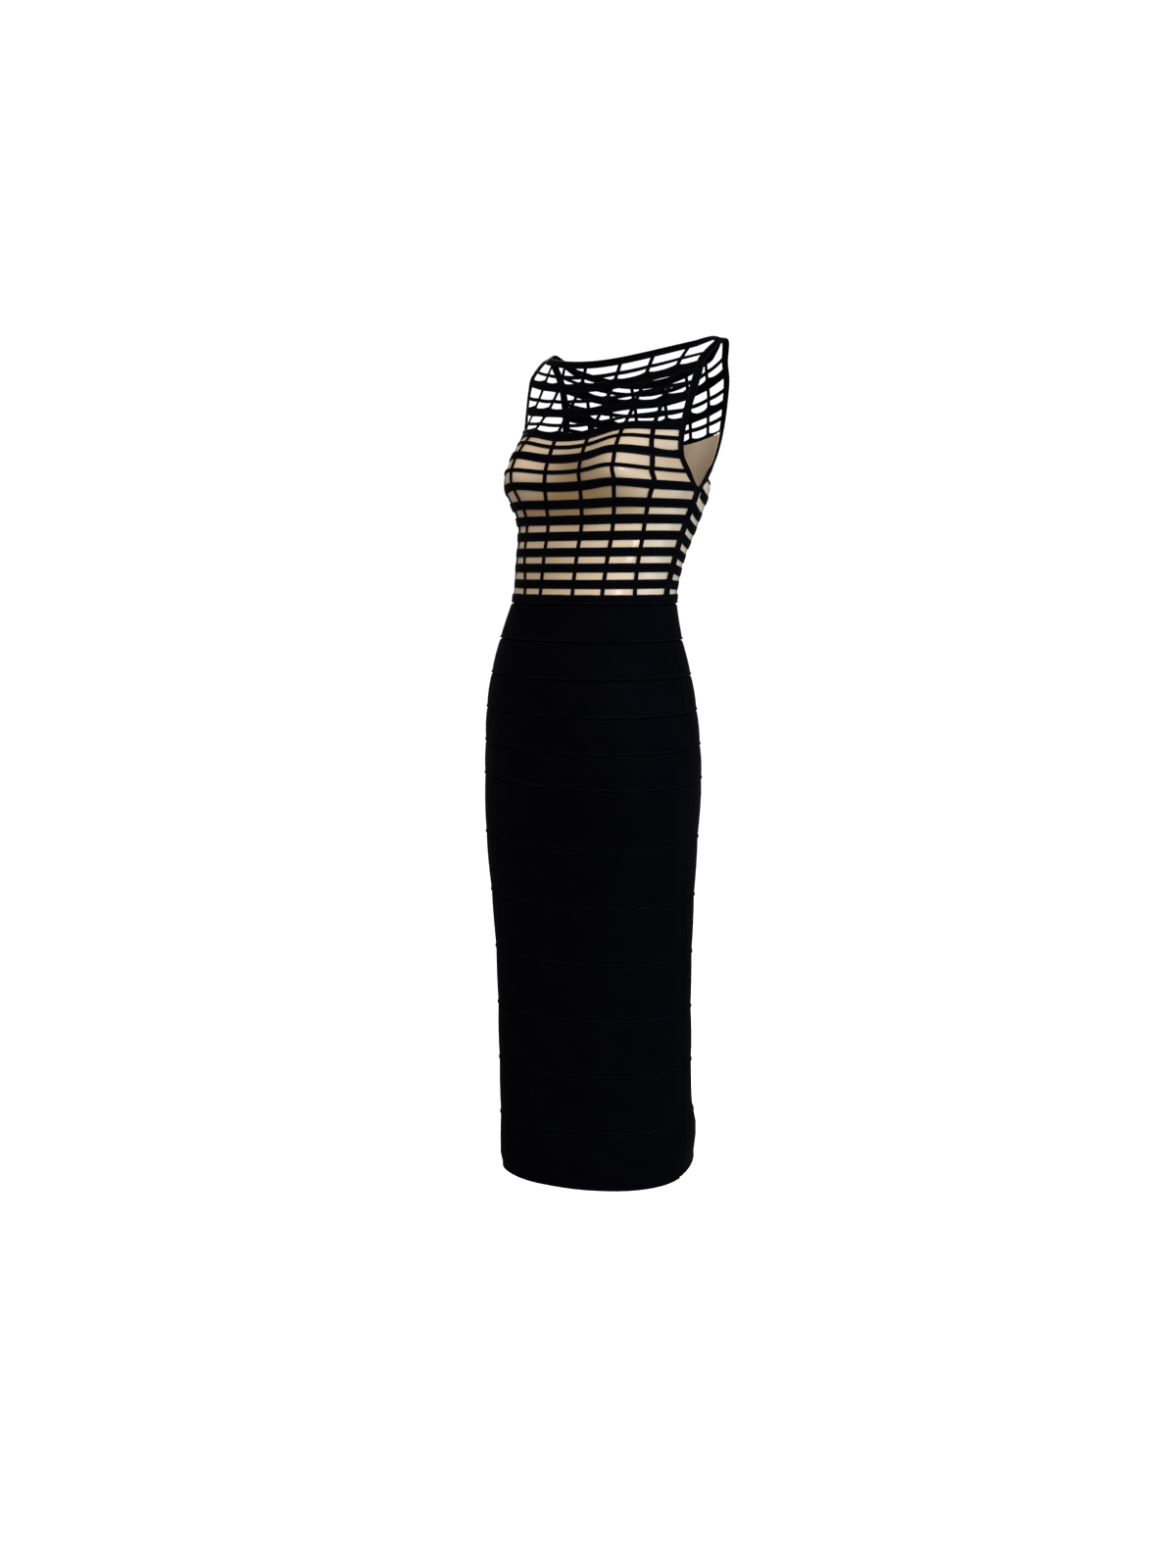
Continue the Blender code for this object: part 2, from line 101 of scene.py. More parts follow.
@dataclass(frozen=True)
class SeamRow:
    """One row from the underarm down, where both halves meet in the side seam at z, x and y, in mm.

    front and back are the height and depth of each half's centre line.
    """

    z: float
    x: float
    y: float
    front: tuple[float, float]
    back: tuple[float, float]
    swing: float = 0.0
    sway: float = 0.0

    def section(self, half: Half) -> Section:
        """Return the row as a section of one half."""
        centre = self.front if half is Half.FRONT else self.back
        return Section(self.z, *centre, self.x, self.y, swing=self.swing, sway=self.sway)


@dataclass(frozen=True)
class Mound:
    """A rounded rise on the front, to each side of the centre line, in mm.

    rise and drop are how far it reaches up and down from its middle.
    """

    x: float
    z: float
    depth: float
    half_width: float
    rise: float
    drop: float

    def felt(self, x: np.ndarray, z: np.ndarray) -> np.ndarray:
        """Return how much of the mound is felt at points of the front."""
        reach = np.where(z > self.z, self.rise, self.drop)
        return self.depth * fade((np.abs(x) - self.x) / self.half_width, (z - self.z) / reach)


@dataclass(frozen=True)
class SoftSpot:
    """A place on one half that fades away around its centre.

    On the skirt depth is a ridge in mm, or a trough if it is negative. On the lining it is how strong the
    painted shade is, from 0 to 1. across is in shares, down in mm, and slant in shares for each 100 mm of
    height.
    """

    share: float
    level: float
    depth: float
    across: float
    down: float
    slant: float = 0.0

    def felt(self, share: np.ndarray, level: np.ndarray) -> np.ndarray:
        """Return how much of the spot is felt at shares and levels."""
        offset = share - self.share - self.slant * (level - self.level) / 100
        return self.depth * fade(offset / self.across, (level - self.level) / self.down)


@dataclass(frozen=True)
class Wave:
    """Slow waves round the skirt: their height in mm, how many, and how far down they slip by a radian."""

    height: float
    waves: float
    climb: float
    start: float = 0.0

    def felt(self, turn: np.ndarray, level: np.ndarray) -> np.ndarray:
        """Return the wave's height at angles round the body and at levels."""
        return self.height * np.sin(self.waves * turn + level / self.climb + self.start)


@dataclass(frozen=True)
class Band:
    """One cross band of the lattice.

    level is its height at the side. pinned says how much higher its top edge stands where a strap pins it
    than between straps, from the wearer's right side to the left. dip lowers the top edge further, column by
    column. sag is how far the whole band hangs between straps, and curl how far its top edge leans out there.
    """

    kind: BandKind
    level: float
    pinned: tuple[float, ...] = (0.0,) * 8
    dip: tuple[float, ...] = (0.0,) * 7
    sag: float = 0.0
    curl: float = 0.0


UNDERARM = -187.0
WAIST = -330.0
SECTION_POWER = 2.3
UPPER_SECTIONS = {
    Half.FRONT: (
        Section(0, -26, -71, 140, 0, 45),
        Section(-30, -53.5, -80, 138, -37.5, 52),
        Section(-55, -73.5, -92, 135.5, -49.5, 56),
        Section(-93, -108, -119, 130, -61, 62),
        Section(-115, -125.5, -133, 126, -66, 66),
        Section(-148, -151, -147, 128, -71, 72),
        Section(-170, -169.5, -152, 137, -69.5, 80),
    ),
    Half.BACK: (
        Section(0, -40, 34, 140, 0, 45),
        Section(-30, -62, 41, 136, 14, 38),
        Section(-55, -80, 46, 134.5, 21, 34),
        Section(-93, -110, 50, 131, 20, 36),
        Section(-115, -128, 51, 130.5, 15, 40),
        Section(-148, -155, 49, 133, -6, 54),
        Section(-170, -173, 44, 137, -34, 72),
    ),
}
SEAM_ROWS = (
    SeamRow(-187, 143, -64, (-186, -150.5), (-187, 38), sway=1),
    SeamRow(-231, 125.5, -70.5, (-231, -147), (-231, 28), sway=4),
    SeamRow(-281, 116, -78, (-281, -159.5), (-281, 3), sway=1),
    SeamRow(-330, 111, -83, (-330, -172), (-330, 0), sway=-1.5),
    SeamRow(-375, 122.5, -86, (-375, -188), (-375, -4), sway=-1.5),
    SeamRow(-422, 133, -87, (-422, -204), (-422, 8), sway=-0.5),
    SeamRow(-468, 141, -91, (-468, -208), (-468, 18)),
    SeamRow(-515, 145.5, -92, (-515, -206), (-515, 25)),
    SeamRow(-560, 146, -95, (-560, -202), (-560, 28), swing=3),
    SeamRow(-632, 138, -96, (-632, -190), (-632, 12), swing=18),
    SeamRow(-709, 130, -91, (-709, -180), (-709, 0), swing=27),
    SeamRow(-784, 125, -87, (-784, -172), (-784, -6), swing=32),
    SeamRow(-859, 121, -85, (-859, -166), (-859, -9), swing=37),
    SeamRow(-933, 118, -84, (-933, -163), (-933, -4), swing=41),
    SeamRow(-1010, 116, -85, (-1010, -160), (-1002, 4), swing=43),
    SeamRow(-1112.5, 117, -86, (-1113, -163), (-1076, 30), swing=41),
)
SECTIONS = {half: UPPER_SECTIONS[half] + tuple(row.section(half) for row in SEAM_ROWS) for half in Half}
CUP = Mound(x=82, z=-170, depth=22, half_width=37, rise=44, drop=25)
BAND_LIFT = Mound(x=76, z=-137, depth=8.5, half_width=38, rise=30, drop=50)

FRONT_BANDS = (
    Band(BandKind.THIN, -21, sag=0.8),
    Band(BandKind.WIDE, -38.5, (3, 5, 5.5, 5, 4.3, 5, 5.3, 3.5), curl=1.6),
    Band(BandKind.THIN, -58.5, sag=1.2),
    Band(BandKind.WIDE, -77, (3, 6, 6, 5.7, 5, 6.5, 5, 1.5), (0, 0, 0, 0, 0, 4, 0), curl=2.0),
    Band(BandKind.THIN, -94, sag=1.2),
    Band(BandKind.WIDE, -114.5, (3, 6, 6.5, 6, 4.5, 2, 1.2, 1.5), (0, 0, 0.5, 0, 0, 0, 1), curl=1.5),
    Band(BandKind.THIN, -131),
    Band(BandKind.WIDE, -149.7, (0, 0, 0, 0, 0, 0, 0.8, 1.5), (0, 0, 0, 0, 0, 0, 1.6), curl=0.4),
    Band(BandKind.THIN, -169.3),
    Band(BandKind.WIDE, -187.8),
    Band(BandKind.WIDE, -208.6),
    Band(BandKind.WIDE, -227),
    Band(BandKind.WIDE, -246.2),
    Band(BandKind.WIDE, -266),
    Band(BandKind.WIDE, -285.3),
    Band(BandKind.WIDE, -305.2),
)
BACK_BANDS = (
    Band(BandKind.THIN, -21, sag=0.8),
    Band(BandKind.WIDE, -38.5, (2.5, 4, 4.5, 4, 4.4, 4, 4.2, 2.5), curl=1.2),
    Band(BandKind.THIN, -58.5, sag=1.0),
    Band(BandKind.WIDE, -77, (2.5, 4.5, 4, 5, 4.5, 5, 4, 2), (0, 0, 1.5, 0, 0, 1, 0), curl=1.5),
    Band(BandKind.THIN, -94, sag=0.9),
    Band(BandKind.WIDE, -114.5, (2, 3.5, 4, 3.5, 3, 3.6, 3, 2), curl=1.0),
) + FRONT_BANDS[6:7] + (Band(BandKind.WIDE, -149.7),) + FRONT_BANDS[8:]
BANDS = {Half.FRONT: FRONT_BANDS, Half.BACK: BACK_BANDS}
LINING_TOP = -114.5

STRAP_LEVELS = {
    Half.FRONT: (0, -47, -85, -110, -140, -153, -163, -178, -198, -217, -257, -275, -296, -318),
    Half.BACK: (0, -85, -150, -217, -318),
}
# Each strap's share at those levels, from the wearer's right to the left.
STRAP_SHARES = {
    Half.FRONT: (
        (-0.62, -0.66, -0.69, -0.70, -0.715, -0.70, -0.69, -0.675, -0.65, -0.635, -0.65, -0.64, -0.65, -0.68),
        (-0.395, -0.43, -0.448, -0.456, -0.47, -0.462, -0.445, -0.43, -0.46, -0.465, -0.472, -0.439, -0.391,
         -0.35),
        (-0.14, -0.175, -0.178, -0.169, -0.16, -0.157, -0.154, -0.156, -0.176, -0.2, -0.199, -0.184, -0.169,
         -0.152),
        (0.19, 0.177, 0.173, 0.17, 0.158, 0.152, 0.147, 0.133, 0.126, 0.122, 0.13, 0.141, 0.152, 0.165),
        (0.455, 0.48, 0.476, 0.489, 0.495, 0.493, 0.485, 0.446, 0.397, 0.386, 0.399, 0.404, 0.41, 0.414),
        (0.73, 0.74, 0.722, 0.728, 0.744, 0.747, 0.728, 0.683, 0.638, 0.627, 0.642, 0.647, 0.658, 0.672),
    ),
    Half.BACK: (
        (-0.68, -0.71, -0.71, -0.64, -0.67),
        (-0.43, -0.465, -0.465, -0.425, -0.40),
        (-0.165, -0.175, -0.16, -0.16, -0.16),
        (0.165, 0.175, 0.16, 0.16, 0.16),
        (0.43, 0.465, 0.465, 0.425, 0.40),
        (0.68, 0.71, 0.71, 0.64, 0.67),
    ),
}
STRAPS = 6
STRAP_MM = 5.6
NECK_BINDING_MM = 9.6
ARMHOLE_BINDING_MM = 10.0
SIDE_STRIP_MM = 10.0

# How far the back's bands have fallen below their levels at the side, and how fast they fall away from it.
DROOP_LEVELS = (0, -114.5, -131, -150, -170, -188, -209, -246, -285, -305, -318)
DROOP_MM = (0, 0, 2, 6, 11, 14.5, 14, 11, 6, 2.5, 0)
DROOP_RUN_MM = 45.0

# Painted shade: the lining is painted deeper and more golden between and under the cups, at the sides and
# back.
LINING_PAINTED_SHADE = {
    Half.FRONT: (
        SoftSpot(0.10, -165, 0.95, 0.28, 32),
        SoftSpot(0.08, -204, 0.9, 0.42, 18),
        SoftSpot(-0.1, -220, 0.45, 0.6, 15),
        SoftSpot(-0.45, -220, 0.35, 0.2, 12),
        SoftSpot(0.5, -214, 0.3, 0.14, 12),
        SoftSpot(0.88, -165, 0.5, 0.22, 40),
        SoftSpot(-0.88, -165, 0.4, 0.22, 40),
        SoftSpot(-0.2, -285, 0.5, 0.3, 60),
        SoftSpot(0.1, -234, 0.2, 0.15, 12),
        SoftSpot(0.64, -172, 0.22, 0.1, 12),
        SoftSpot(0.86, -200, 0.3, 0.1, 12),
        SoftSpot(0.86, -256, 0.3, 0.1, 34),
        SoftSpot(0.7, -305, 0.15, 0.12, 20),
        SoftSpot(0.6, -264, 0.25, 0.1, 22),
    ),
    Half.BACK: (
        SoftSpot(0.0, -262, 0.55, 0.22, 52),
        SoftSpot(0.55, -160, 0.35, 0.3, 26),
        SoftSpot(-0.55, -160, 0.35, 0.3, 26),
    ),
}
# Where the worn skirt has a soft trough or ridge.
SKIRT_DENTS = {
    Half.FRONT: (
        SoftSpot(0.37, -485, -2.5, 0.04, 15, slant=-0.35),
        SoftSpot(0.45, -492, 1.2, 0.05, 15, slant=-0.35),
        SoftSpot(0.71, -498, -2.4, 0.045, 13, slant=-0.45),
        SoftSpot(0.79, -492, 1.3, 0.05, 17, slant=-0.3),
        SoftSpot(0.84, -398, 0.9, 0.07, 18),
        SoftSpot(0.86, -442, -0.8, 0.05, 16, slant=0.3),
        SoftSpot(-0.45, -492, -1.2, 0.06, 16, slant=0.35),
        SoftSpot(-0.74, -486, -1.2, 0.05, 15, slant=0.4),
        SoftSpot(0.10, -600, -0.8, 0.10, 26),
        SoftSpot(0.55, -668, -0.7, 0.09, 30, slant=0.25),
        SoftSpot(1.0, -1056, 3.4, 0.3, 30),
        SoftSpot(-0.65, -1114, -4.0, 0.3, 11),
    ),
    Half.BACK: (
        SoftSpot(0.85, -1056, 5.2, 0.4, 30),
        SoftSpot(0.75, -1112, -2.2, 0.4, 16),
        SoftSpot(-0.75, -1112, -2.0, 0.4, 16),
        SoftSpot(0.0, -470, -2.2, 0.09, 60),
        SoftSpot(0.32, -545, -1.3, 0.10, 14, slant=0.2),
        SoftSpot(-0.32, -548, -1.3, 0.10, 14, slant=-0.2),
        SoftSpot(0.5, -585, 1.0, 0.16, 16),
        SoftSpot(-0.5, -588, 1.0, 0.16, 16),
        SoftSpot(0.25, -742, -1.1, 0.13, 30, slant=0.2),
        SoftSpot(-0.3, -800, -1.1, 0.12, 34, slant=-0.2),
    ),
}

WAIST_BAND_TOP = -318.0
UPPER_STRIPS, UPPER_STRIP_MM = 5, 45.0
LOWER_STRIPS, LOWER_STRIP_MM = 7, 79.6
SEAM_GAP_MM = 0.3
# The side seam proper starts a little under the underarm, beneath the armhole binding.
SIDE_SEAM_TOP = UNDERARM - 4.0
RIDGE_NECK = np.array((128.0, 0.0, -1.5))
RIDGE_ARM = np.array((138.2, 0.0, -4.0))
RIDGE_NORMAL = np.array((0.25, 0.0, 1.0)) / math.hypot(0.25, 1.0)
NECK_RIDGE_SHARE = 0.76
NECK_STATIONS = 17
CURVE_STEPS = 24
ARMHOLE_LEVELS = (-28, -50, -75, -100, -125, -150, -168)
# The front of an armhole binding is pulled narrower towards the underarm.
ARMHOLE_FRONT_MM = (10.0, 10.4, 10.2, 9.2, 8.0, 7.4, 8.2)
UNDERARM_BINDING_MM = 9.6

# The waist band's section: how far down and how far out each point is, and how much paler it is painted,
# partly wear from rubbing and partly painted highlight. It has a stitched groove near its foot. The last
# eight points are inside, where its seam allowance hangs.
WAIST_BAND_LOOP = np.array((
    (0.0, -0.9, 0.2), (0.35, 0.3, 0.8), (1.0, 0.85, 0.7), (2.6, 1.1, 0.1), (4.6, 1.15, 0.0),
    (6.6, 1.1, 0.0), (8.2, 0.95, 0.1), (8.9, 0.55, 0.0), (9.5, 0.95, 0.4), (10.4, 1.2, 0.8),
    (11.2, 0.95, 0.7), (11.7, 0.1, 0.2), (11.8, -2.4, 0.0), (12.3, -3.7, 0.0), (14.6, -3.7, 0.0),
    (14.6, -4.0, 0.0), (12.0, -4.0, 0.0), (11.2, -2.4, 0.0), (6.0, -2.0, 0.0), (0.5, -2.0, 0.0),
))


def fade(*offsets: np.ndarray) -> np.ndarray:
    """Return 1 where every offset is 0, falling away smoothly on all sides."""
    return np.exp(-sum(offset**2 for offset in offsets))


def eased(value: np.ndarray) -> np.ndarray:
    """Return values eased from 0 to 1, and held outside."""
    held = np.clip(value, 0, 1)
    return held * held * (3 - 2 * held)


def unit(vectors: np.ndarray) -> np.ndarray:
    """Return vectors at unit length."""
    return vectors / np.linalg.norm(vectors, axis=-1, keepdims=True)


def through(knots: Sequence[float], values: Sequence[float], at: np.ndarray) -> np.ndarray:
    """Read values off the smooth curve through knots that run downwards.

    Args:
        knots: The heights of the known values, highest first.
        values: The known values.
        at: The heights to read.

    Returns:
        The value at each height.
    """
    known, value, where = np.asarray(knots, float), np.asarray(values, float), np.asarray(at, float)
    index = np.clip(np.searchsorted(-known, -where, side="right") - 1, 0, len(known) - 2)
    order = np.arange(len(known))
    low, high = np.maximum(order - 1, 0), np.minimum(order + 1, len(known) - 1)
    slope = (value[high] - value[low]) / (known[high] - known[low])
    span = known[index + 1] - known[index]
    t = (where - known[index]) / span
    return (
        (2 * t**3 - 3 * t**2 + 1) * value[index]
        + (t**3 - 2 * t**2 + t) * span * slope[index]
        + (3 * t**2 - 2 * t**3) * value[index + 1]
        + (t**3 - t**2) * span * slope[index + 1]
    )


def run_lengths(points: np.ndarray, is_ring: bool = False) -> np.ndarray:
    """Return the length run at each point of a path.

    Args:
        points: The path's points.
        is_ring: Whether the path goes back to its first point.

    Returns:
        The lengths from the first point, with one more for the way back on a ring.
    """
    if is_ring:
        points = np.concatenate((points, points[:1]))
    return np.concatenate(([0.0], np.cumsum(np.linalg.norm(np.diff(points, axis=0), axis=1))))


class BodyForm:
    """The worn form as a front and a back surface, which every piece is laid on.

    Each surface is a table of points, with a row for each millimetre of level and a column for each share.
    """

    SECTION_STEPS = 160
    SIDE_COLUMNS = 240
    LOWEST = -1114.0
    SIDE_BLEND_SHARE = 0.12
    EDGE_STEP_MM = 2.0
    ROW_SHARE = 0.97
    INSIDE_TABLE = 1e-6

    def __init__(self) -> None:
        """Lay out both surfaces as tables of points and outward directions."""
        self.levels = -np.arange(0.0, -self.LOWEST + 0.5)
        self._points, self._normals, self._girths = {}, {}, {}
        for half in Half:
            self._points[half], self._girths[half] = self._lay_out(half)
            self._normals[half] = self._outward(half)
        self._blend_sides()

    def _read_sections(self, half: Half) -> dict[str, np.ndarray]:
        """Return a half's sections at every level.

        Args:
            half: The front or the back.

        Returns:
            The section's numbers by name, each with one value for each level.
        """
        rows = SECTIONS[half]
        knots = [row.edge_z for row in rows]
        names = ("centre_z", "centre_y", "edge_x", "edge_y", "turn", "swing", "sway")
        read = {name: through(knots, [getattr(row, name) for row in rows], self.levels) for name in names}
        # The armhole's edge meets the side seam in a corner, so the seam's depth is read from its own rows.
        below = self.levels < UNDERARM
        depths = through([row.z for row in SEAM_ROWS], [row.y for row in SEAM_ROWS], self.levels[below])
        read["edge_y"][below] = depths
        return read

    def _curves(self, read: dict[str, np.ndarray]) -> np.ndarray:
        """Return each level's section as a curve from the centre line to the wearer's left side.

        Args:
            read: The sections' numbers at every level.

        Returns:
            The points, by level and by step along the curve.
        """
        turn = np.radians(np.minimum(read["turn"], 90.0))
        angle = turn[:, None] * np.linspace(0, 1, self.SECTION_STEPS + 1)[None, :]
        sine, cosine = np.sin(angle), np.cos(angle)
        size = (np.abs(sine) ** SECTION_POWER + np.abs(cosine) ** SECTION_POWER) ** (1 / SECTION_POWER)
        sine, cosine = sine / size, cosine / size
        across = sine / sine[:, -1:]
        away = (1 - cosine) / (1 - cosine[:, -1:])
        x = read["edge_x"][:, None] * across
        y = read["centre_y"][:, None] + (read["edge_y"] - read["centre_y"])[:, None] * away
        z = read["centre_z"][:, None] + (self.levels - read["centre_z"])[:, None] * across**2
        return np.stack((x, y, z), axis=-1)

    def _lay_out(self, half: Half) -> tuple[np.ndarray, np.ndarray]:
        """Return a half's surface.

        Args:
            half: The front or the back.

        Returns:
            The points by level and share, and the length from the centre line to the side at each level.
        """
        read = self._read_sections(half)
        curves = self._curves(read)
        steps = np.linalg.norm(np.diff(curves, axis=1), axis=-1)
        runs = np.concatenate((np.zeros((len(curves), 1)), np.cumsum(steps, axis=1)), axis=1)
        side = np.linspace(0.0, 1.0, self.SIDE_COLUMNS + 1)
        even = np.empty((len(curves), len(side), 3))
        for row, run in enumerate(runs):
            for axis in range(3):
                even[row, :, axis] = np.interp(side * run[-1], run, curves[row, :, axis])
        if half is Half.FRONT:
            even[..., 1] -= CUP.felt(even[..., 0], even[..., 2])
            even[..., 2] += BAND_LIFT.felt(even[..., 0], even[..., 2])
        whole = np.concatenate((even[:, :0:-1] * MIRROR, even), axis=1)
        whole[..., 1] += read["swing"][:, None] * whole[..., 0] / read["edge_x"][:, None]
        whole[..., 0] += read["sway"][:, None]
        return whole, runs[:, -1]

    def _outward(self, half: Half) -> np.ndarray:
        """Return the directions that point out of the body.

        Args:
            half: The front or the back.

        Returns:
            A unit vector for each point of the half's surface.
        """
        points = self._points[half]
        along, up = np.gradient(points, axis=1), -np.gradient(points, axis=0)
        normal = unit(np.cross(along, up))
        return normal if half is Half.FRONT else -normal

    def _blend_sides(self) -> None:
        """Turn both halves' directions into one at the side seams."""
        shares = np.linspace(-1, 1, 2 * self.SIDE_COLUMNS + 1)
        own = {half: normals.copy() for half, normals in self._normals.items()}
        below = (self.levels < SIDE_SEAM_TOP)[:, None]
        for half, other in ((Half.FRONT, Half.BACK), (Half.BACK, Half.FRONT)):
            for side, edge in ((-1, own[other][:, :1]), (1, own[other][:, -1:])):
                past = shares * side - (1 - self.SIDE_BLEND_SHARE)
                near = (eased(past / self.SIDE_BLEND_SHARE) * below)[..., None]
                self._normals[half] = np.where(near > 0, unit(own[half] + near * edge), self._normals[half])

    def _read(self, table: np.ndarray, share: np.ndarray, level: np.ndarray) -> np.ndarray:
        """Read a table between its rows and columns.

        Args:
            table: The points or directions of a half.
            share: The shares to read.
            level: The levels to read.

        Returns:
            A vector for each share and level.
        """
        column = np.clip((share + 1) * self.SIDE_COLUMNS, 0, 2 * self.SIDE_COLUMNS - self.INSIDE_TABLE)
        row = np.clip(-level, 0, len(self.levels) - 1 - self.INSIDE_TABLE)
        i, j = row.astype(int), column.astype(int)
        s, t = (row - i)[..., None], (column - j)[..., None]
        upper = table[i, j] * (1 - t) + table[i, j + 1] * t
        lower = table[i + 1, j] * (1 - t) + table[i + 1, j + 1] * t
        return upper * (1 - s) + lower * s

    def normal(self, half: Half, share: np.ndarray, level: np.ndarray) -> np.ndarray:
        """Return the outward directions at shares and levels."""
        share, level = np.broadcast_arrays(np.asarray(share, float), np.asarray(level, float))
        return unit(self._read(self._normals[half], share, level))

    def point(self, half: Half, share: np.ndarray, level: np.ndarray, out: np.ndarray = 0.0) -> np.ndarray:
        """Return points of a half.

        Args:
            half: The front or the back.
            share: The points' shares.
            level: The points' levels.
            out: How far outside the form each point lies.

        Returns:
            The points, in mm.
        """
        share, level, out = np.broadcast_arrays(
            np.asarray(share, float), np.asarray(level, float), np.asarray(out, float)
        )
        places = self._read(self._points[half], share, level)
        return places + self.normal(half, share, level) * out[..., None]

    def girth(self, half: Half, level: np.ndarray) -> np.ndarray:
        """Return the length from the centre line to the side."""
        return np.interp(-np.asarray(level, float), -self.levels, self._girths[half])

    def below(self, half: Half, share: np.ndarray, level: np.ndarray, distance: np.ndarray) -> np.ndarray:
        """Return the levels that lie a distance down the cloth.

        Args:
            half: The front or the back.
            share: The shares to start from.
            level: The levels to start from.
            distance: How far down the cloth to go, in mm.

        Returns:
            The new levels.
        """
        start, next_row = self.point(half, share, level), self.point(half, share, np.asarray(level) - 1)
        return level - np.asarray(distance) / np.linalg.norm(start - next_row, axis=-1)

    def armhole_share(self, half: Half, level: np.ndarray, width: np.ndarray) -> np.ndarray:
        """Return the shares that lie a width inside the armhole's edge.

        Args:
            half: The front or the back.
            level: The levels to read.
            width: The distance from the edge, square to it, in mm.

        Returns:
            The shares, for the wearer's left side.
        """
        level = np.maximum(np.asarray(level, float), UNDERARM + ARMHOLE_BINDING_MM)
        above, under = np.minimum(level + self.EDGE_STEP_MM, 0.0), level - self.EDGE_STEP_MM
        edge = unit(self.point(half, 1.0, above) - self.point(half, 1.0, under))
        row = unit(self.point(half, 1.0, level) - self.point(half, self.ROW_SHARE, level))
        slant = np.linalg.norm(np.cross(edge, row), axis=-1)
        return 1 - width / slant / self.girth(half, level)

    @staticmethod
    def strap_share(half: Half, number: int, level: np.ndarray) -> np.ndarray:
        """Return a strap's share at levels; number counts from the wearer's right."""
        return through(STRAP_LEVELS[half], STRAP_SHARES[half][number], level)

    def droop(self, half: Half, share: np.ndarray, level: float) -> np.ndarray:
        """Return how far a band has fallen below its level at the side, which only the back's do.

        Args:
            half: The front or the back.
            share: The shares to read.
            level: The band's level.

        Returns:
            The fall at each share, in mm.
        """
        if half is Half.FRONT:
            return np.zeros(np.shape(share))
        fall = float(through(DROOP_LEVELS, DROOP_MM, level))
        left = 1 - np.minimum((1 - np.abs(share)) * self.girth(half, level) / DROOP_RUN_MM, 1)
        return fall * (1 - left**2)


def all_round(levels: np.ndarray, steps: int) -> Iterator[tuple[Half, np.ndarray, np.ndarray]]:
    """Go once round the body: over the front from the wearer's right, and back over the back.

    Args:
        levels: The levels of one section of a tube of cloth.
        steps: How many sections each half has.

    Yields:
        Each half, with the share and the level of each point on it.
    """
    shares = np.linspace(-1, 1, steps + 1)
    for half, order in ((Half.FRONT, shares[:-1]), (Half.BACK, shares[:0:-1])):
        yield half, *np.broadcast_arrays(order[:, None], levels[None, :])


def linear(hex_colour: str) -> tuple[float, float, float, float]:
    """Return a linear colour from an sRGB hex value."""
    channels = [int(hex_colour.lstrip("#")[i : i + 2], 16) / 255 for i in (0, 2, 4)]
    return (*(c / 12.92 if c <= 0.04045 else ((c + 0.055) / 1.055) ** 2.4 for c in channels), 1.0)


def set_inputs(tree: bpy.types.NodeTree, node: bpy.types.Node, **inputs: object) -> None:
    """Set or link a node's inputs.

    Args:
        tree: The node tree.
        node: The node.
        **inputs: Input names, with _ for a space, or in_0, in_1 for the input at that place. Each has a value
            or a socket to link.
    """
    for name, value in inputs.items():
        key = int(name.removeprefix("in_")) if name.startswith("in_") else name.replace("_", " ")
        if isinstance(value, bpy.types.NodeSocket):
            tree.links.new(value, node.inputs[key])
        else:
            node.inputs[key].default_value = value


def add_node(
    tree: bpy.types.NodeTree, kind: str, settings: dict | None = None, **inputs: object,
) -> bpy.types.Node:
    """Add a node with its settings and links.

    Args:
        tree: The node tree.
        kind: The node's type.
        settings: Values for the node's own properties.
        **inputs: Its inputs, named as for set_inputs.

    Returns:
        The new node.
    """
    node = tree.nodes.new(kind)
    for name, value in (settings or {}).items():
        setattr(node, name, value)
    set_inputs(tree, node, **inputs)
    return node


def add_object(name: str, data: bpy.types.ID) -> bpy.types.Object:
    """Return a new object that stands in the scene, at the origin."""
    thing = bpy.data.objects.new(name, data)
    bpy.context.scene.collection.objects.link(thing)
    return thing


@dataclass(frozen=True)
class Finish:
    """What every finish shares: a named material with one Principled shader."""

    name: str = "finish"

    def begin(self) -> tuple[bpy.types.Material, bpy.types.NodeTree, bpy.types.Node]:
        """Start the finish.

        Returns:
            A new material, its tree and its shader.
        """
        material = bpy.data.materials.new(self.name)
        material.use_nodes = True
        tree = material.node_tree
        return material, tree, tree.nodes["Principled BSDF"]

    @staticmethod
    def cloth_axes(tree: bpy.types.NodeTree) -> tuple[bpy.types.NodeSocket, bpy.types.NodeSocket]:
        """Read the cloth's own axes.

        Args:
            tree: The material's tree.

        Returns:
            How far along and across the piece a point is, in metres.
        """
        uv = add_node(tree, "ShaderNodeUVMap", {"uv_map": CLOTH_UV})
        parts = add_node(tree, "ShaderNodeSeparateXYZ", in_0=uv.outputs[0])
        return parts.outputs[0], parts.outputs[1]

    @staticmethod
    def ripple(
        tree: bpy.types.NodeTree, along: bpy.types.NodeSocket, pitch_mm: float,
    ) -> bpy.types.NodeSocket:
        """Make a ripple that repeats at a pitch.

        Args:
            tree: The material's tree.
            along: The distance that the ripple runs over, in metres.
            pitch_mm: How far apart its crests are.

        Returns:
            The ripple's height, from 0 to 1.
        """
        turns = 2 * math.pi / pitch_mm / MM
        phase = add_node(tree, "ShaderNodeMath", {"operation": "MULTIPLY"}, in_0=along, in_1=turns)
        wave = add_node(tree, "ShaderNodeMath", {"operation": "SINE"}, in_0=phase.outputs[0])
        raised = add_node(
            tree, "ShaderNodeMath", {"operation": "MULTIPLY_ADD"}, in_0=wave.outputs[0], in_1=0.5, in_2=0.5,
        )
        return raised.outputs[0]


